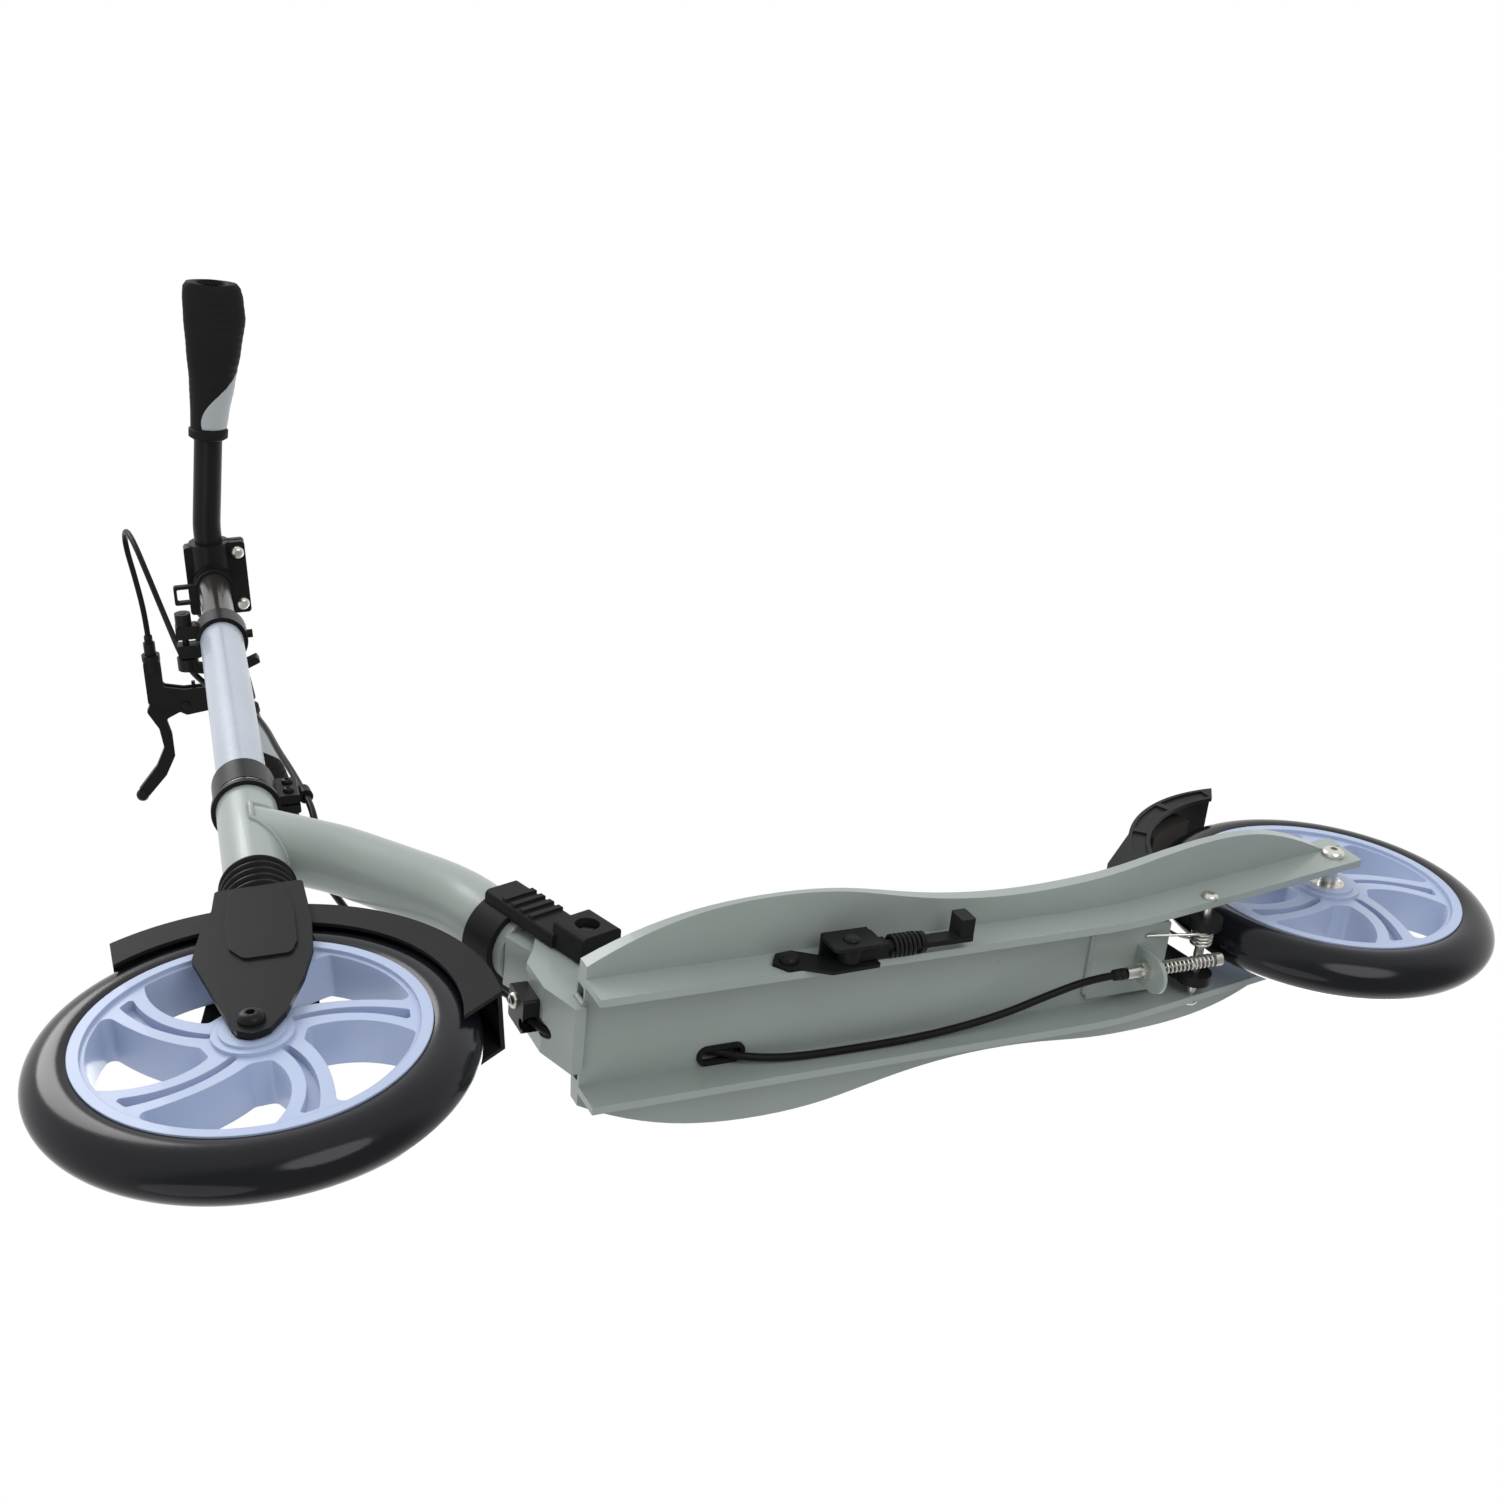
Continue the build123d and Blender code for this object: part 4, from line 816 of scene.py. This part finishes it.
# ------------------------------------------------------------------ welds
@dataclass
class WeldBeads:
    """Rippled weld beads where the frame's tubes and plates meet."""

    steering: SteeringFrame
    wardrobe: Wardrobe
    bead: float = 1.7
    ripple: float = 0.28
    pitch: float = 1.9
    facets: int = 14
    head_reach: float = 19.2

    def run(self, name: str, points: list[Vector], body: str, closed: bool = False) -> None:
        """A rippled bead along a line.

        Args:
            name: the piece's name.
            points: the line, in metres.
            body: the body it rides on.
            closed: whether the line returns to its start.
        """
        if closed:
            points = points + [points[0]]
        dense: list[Vector] = []
        for near, far in zip(points, points[1:]):
            count = max(1, int((far - near).length / (0.00035)))
            dense += [near.lerp(far, step / count) for step in range(count)]
        dense.append(points[-1])
        travelled, rings = 0.0, []
        for index, point in enumerate(dense):
            ahead = dense[min(index + 1, len(dense) - 1)] - dense[max(index - 1, 0)]
            along = ahead.normalized()
            side = along.cross(Vector((0, 0, 1)))
            side = side.normalized() if side.length > 0.1 else along.orthogonal().normalized()
            other = along.cross(side)
            phase = 2 * math.pi * travelled / (self.pitch * MM)
            from_end = min(index, len(dense) - 1 - index) / len(dense)
            fade = 1.0 if closed else min(1.0, 0.45 + 12 * from_end)
            radius = (self.bead * fade + self.ripple * abs(math.sin(phase / 2))) * MM
            rings.append([
                point + (side * math.cos(2 * math.pi * step / self.facets)
                         + other * math.sin(2 * math.pi * step / self.facets)) * radius
                for step in range(self.facets)
            ])
            if index + 1 < len(dense):
                travelled += (dense[index + 1] - point).length
        piece = skin(name, rings, closed=not closed)
        self.wardrobe.dress(piece, Look.WELD.value)
        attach(piece, body)

    def saddle(self) -> list[Vector]:
        """The line where the down tube meets the head tube."""
        top, below = from_rear([(638, 0, 362), (585, 0, 315)])
        along = (top - below).normalized()
        left = Vector((0, 1, 0))
        over = along.cross(left).normalized()
        line = []
        for step in range(120):
            turn = 2 * math.pi * step / 120
            start = below + (over * math.cos(turn) + left * math.sin(turn)) * 21.2 * MM
            along_tube = [start + along * (20 + tick * 0.25) * MM for tick in range(260)]
            touching = [point for point in along_tube if self.gap(point) <= self.head_reach]
            line.append(touching[0] if touching else min(along_tube, key=self.gap))
        return line

    def gap(self, point: Vector) -> float:
        """Distance from the steering axis in millimetres."""
        arm = point - self.steering.origin
        return (arm - self.steering.up * arm.dot(self.steering.up)).length / MM

    def build(self) -> None:
        """Makes the beads at the head tube and round the neck bracket's foot."""
        self.run("weld_head_tube", self.saddle(), "front_frame", closed=True)
        for sign, hand in ((1, "left"), (-1, "right")):
            top = [(482.5, sign * 20.2, 97), (498, sign * 20.4, 97), (515.5, sign * 20.4, 97)]
            front = [(516.6, sign * 20.2, 95), (516.6, sign * 20.2, 83)]
            self.run(f"weld_bracket_{hand}", from_rear(top), "deck")
            self.run(f"weld_bracket_front_{hand}", from_rear(front), "deck")
        self.run("weld_bridge_front", from_rear([(194.4, -24, 84), (194.4, -4, 84), (194.4, 18, 84)]), "deck")


# ------------------------------------------------------------------ small fittings
@dataclass
class RearBrakeWires:
    """The torsion spring's two legs, reaching from its coil to the bridge and the fender."""

    wardrobe: Wardrobe
    wire: float = 0.9
    legs: tuple = (
        ((118, 14.2, 72.5), (126, 14.2, 72.0), (138, 13.6, 75.5), (152, 12.8, 80.2), (158, 12.6, 81.2)),
        ((118, 3.2, 84.5), (124, 3.2, 88), (128, 3.4, 98), (131, 3.8, 108)),
    )

    def build(self) -> None:
        """Makes the wires."""
        for index, leg in enumerate(self.legs):
            piece = tube_along(f"torsion_spring_leg_{index}", from_rear(list(leg)), self.wire * MM)
            self.wardrobe.dress(piece, Look.ZINC.value)
            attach(piece, "deck")


@dataclass
class ColumnTrim:
    """Thin trim on the column: gaskets at the collars."""

    steering: SteeringFrame
    wardrobe: Wardrobe
    gaskets: tuple = ((606.0, 12.7, 15.2), (323.0, 16.1, 18.6), (288.4, 13.0, 17.5))

    def build(self) -> None:
        """Makes the gaskets."""
        for index, (up, inner, outer) in enumerate(self.gaskets):
            profile = [(0.0, inner), (0.0, outer), (0.5, outer + 0.25), (1.1, outer), (1.4, inner + 0.6),
                       (1.4, inner)]
            foot = self.steering.point(0, 0, up)
            ring = turned(f"collar_gasket_{index}", foot, self.steering.up, profile, 64)
            self.wardrobe.dress(ring, Look.RUBBER.value)
            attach(ring, "steerer")


# ------------------------------------------------------------------ studio
@dataclass
class Lamp:
    """One soft studio light."""

    name: str
    place: tuple[float, float, float]
    size: float
    power: float

    def build(self, aim: Vector) -> None:
        """Hangs the light and points it.

        Args:
            aim: what it points at, in metres.
        """
        data = bpy.data.lights.new(self.name, "AREA")
        data.shape = "DISK"
        data.size = self.size
        data.energy = self.power
        lamp = bpy.data.objects.new(self.name, data)
        lamp.location = self.place
        lamp.rotation_mode = "QUATERNION"
        lamp.rotation_quaternion = (aim - lamp.location).to_track_quat("-Z", "Y")
        bpy.context.collection.objects.link(lamp)


@dataclass
class Studio:
    """Pale floor, white surroundings, soft lights and the camera."""

    lens: float = 49.349
    place: tuple = (0.53505, 0.574666, -0.78265)
    right: tuple = (-0.903591, 0.096146, -0.417467)
    rise: tuple = (-0.08522, 0.914671, 0.395113)
    look: tuple = (-0.419834, -0.392597, 0.818295)
    floor_half: float = 14.0
    under_glow: float = 0.45
    horizon: tuple[float, float] = (-0.6, -0.15)
    lamps: list[Lamp] = field(default_factory=lambda: [
        Lamp("key_below", (-0.2, 1.7, -1.5), 1.6, 20.0),
        Lamp("fill_below", (1.5, -0.6, -1.3), 1.8, 9.0),
        Lamp("key_above", (1.0, 1.4, 2.4), 1.5, 32.0),
        Lamp("fill_above", (-1.4, -1.6, 1.9), 1.8, 20.0),
    ])

    def floor(self) -> None:
        """The floor is a one-sided sheet: from below, the underside of the object is seen through it."""
        half = self.floor_half
        corners = [(-half, -half, 0), (half, -half, 0), (half, half, 0), (-half, half, 0)]
        mesh = bpy.data.meshes.new("floor")
        mesh.from_pydata([Vector(corner) for corner in corners], [], [(0, 1, 2, 3)])
        mesh.update()
        sheet = bpy.data.objects.new("floor", mesh)
        bpy.context.collection.objects.link(sheet)
        graph = Graph("studio_floor")
        pale = graph.mix((0.80, 0.80, 0.80), (0.86, 0.86, 0.86), graph.noise(2.0, 3.0))
        top = graph.add("ShaderNodeBsdfPrincipled", {}, {"Base Color": pale, "Roughness": 0.7})
        clear = graph.add("ShaderNodeBsdfTransparent")
        back = graph.add("ShaderNodeNewGeometry", output="Backfacing")
        mixed = graph.add("ShaderNodeMixShader", {}, {0: back, 1: top, 2: clear})
        graph.add("ShaderNodeOutputMaterial", {}, {"Surface": mixed})
        mesh.materials.append(graph.material)
        sheet.visible_shadow = False
        sheet.visible_diffuse = False
        sheet.visible_glossy = False

    def surroundings(self) -> None:
        """A white surround above the horizon that falls off to grey well below it."""
        world = bpy.data.worlds.new("studio_white")
        world.use_nodes = True
        tree = world.node_tree
        tree.nodes.clear()
        direction = tree.nodes.new("ShaderNodeTexCoord")
        height = tree.nodes.new("ShaderNodeSeparateXYZ")
        share = tree.nodes.new("ShaderNodeMapRange")
        share.interpolation_type = "SMOOTHSTEP"
        share.inputs["From Min"].default_value, share.inputs["From Max"].default_value = self.horizon
        mixed = tree.nodes.new("ShaderNodeMixShader")
        tree.links.new(direction.outputs["Generated"], height.inputs[0])
        tree.links.new(height.outputs["Z"], share.inputs["Value"])
        tree.links.new(share.outputs[0], mixed.inputs[0])
        for socket, strength in ((1, self.under_glow), (2, 1.0)):
            glow = tree.nodes.new("ShaderNodeBackground")
            glow.inputs["Color"].default_value = (1.0, 1.0, 1.0, 1.0)
            glow.inputs["Strength"].default_value = strength
            tree.links.new(glow.outputs[0], mixed.inputs[socket])
        ending = tree.nodes.new("ShaderNodeOutputWorld")
        tree.links.new(mixed.outputs[0], ending.inputs["Surface"])
        bpy.context.scene.world = world

    def camera(self) -> None:
        """The camera at the product shot's angle."""
        data = bpy.data.cameras.new("camera")
        data.lens = self.lens
        data.sensor_width = 36.0
        data.clip_start, data.clip_end = 0.05, 50.0
        camera = bpy.data.objects.new("camera", data)
        right, rise, look = Vector(self.right), Vector(self.rise), Vector(self.look)
        turn = Matrix((right, rise, -look)).transposed()
        camera.matrix_world = Matrix.Translation(Vector(self.place)) @ turn.to_4x4()
        bpy.context.collection.objects.link(camera)
        bpy.context.scene.camera = camera

    def build(self) -> None:
        """Sets the whole studio up."""
        self.surroundings()
        self.floor()
        aim = Vector((0.0, 0.0, 0.25))
        for lamp in self.lamps:
            lamp.build(aim)
        self.camera()
        bpy.context.scene.view_settings.view_transform = "Standard"


def main() -> None:
    """Builds the scooter's visual in order, from the solids' finishes to the studio."""
    logging.basicConfig(level=logging.INFO, format="%(message)s")
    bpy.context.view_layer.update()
    record = frame["record"]
    steering = SteeringFrame.from_record(record)
    wardrobe = Wardrobe()
    log.info("dressing %d solids", len(frame["nodes"]))
    wardrobe.dress_solids(record)
    for hand in (1, -1):
        Grip(steering, hand, wardrobe).build()
    log.info("suspension, cable, welds and fittings")
    Suspension(steering, wardrobe).build()
    BrakeCable(steering, wardrobe).build()
    WeldBeads(steering, wardrobe).build()
    RearBrakeWires(wardrobe).build()
    ColumnTrim(steering, wardrobe).build()
    Studio().build()


if __name__ == "__main__":
    main()
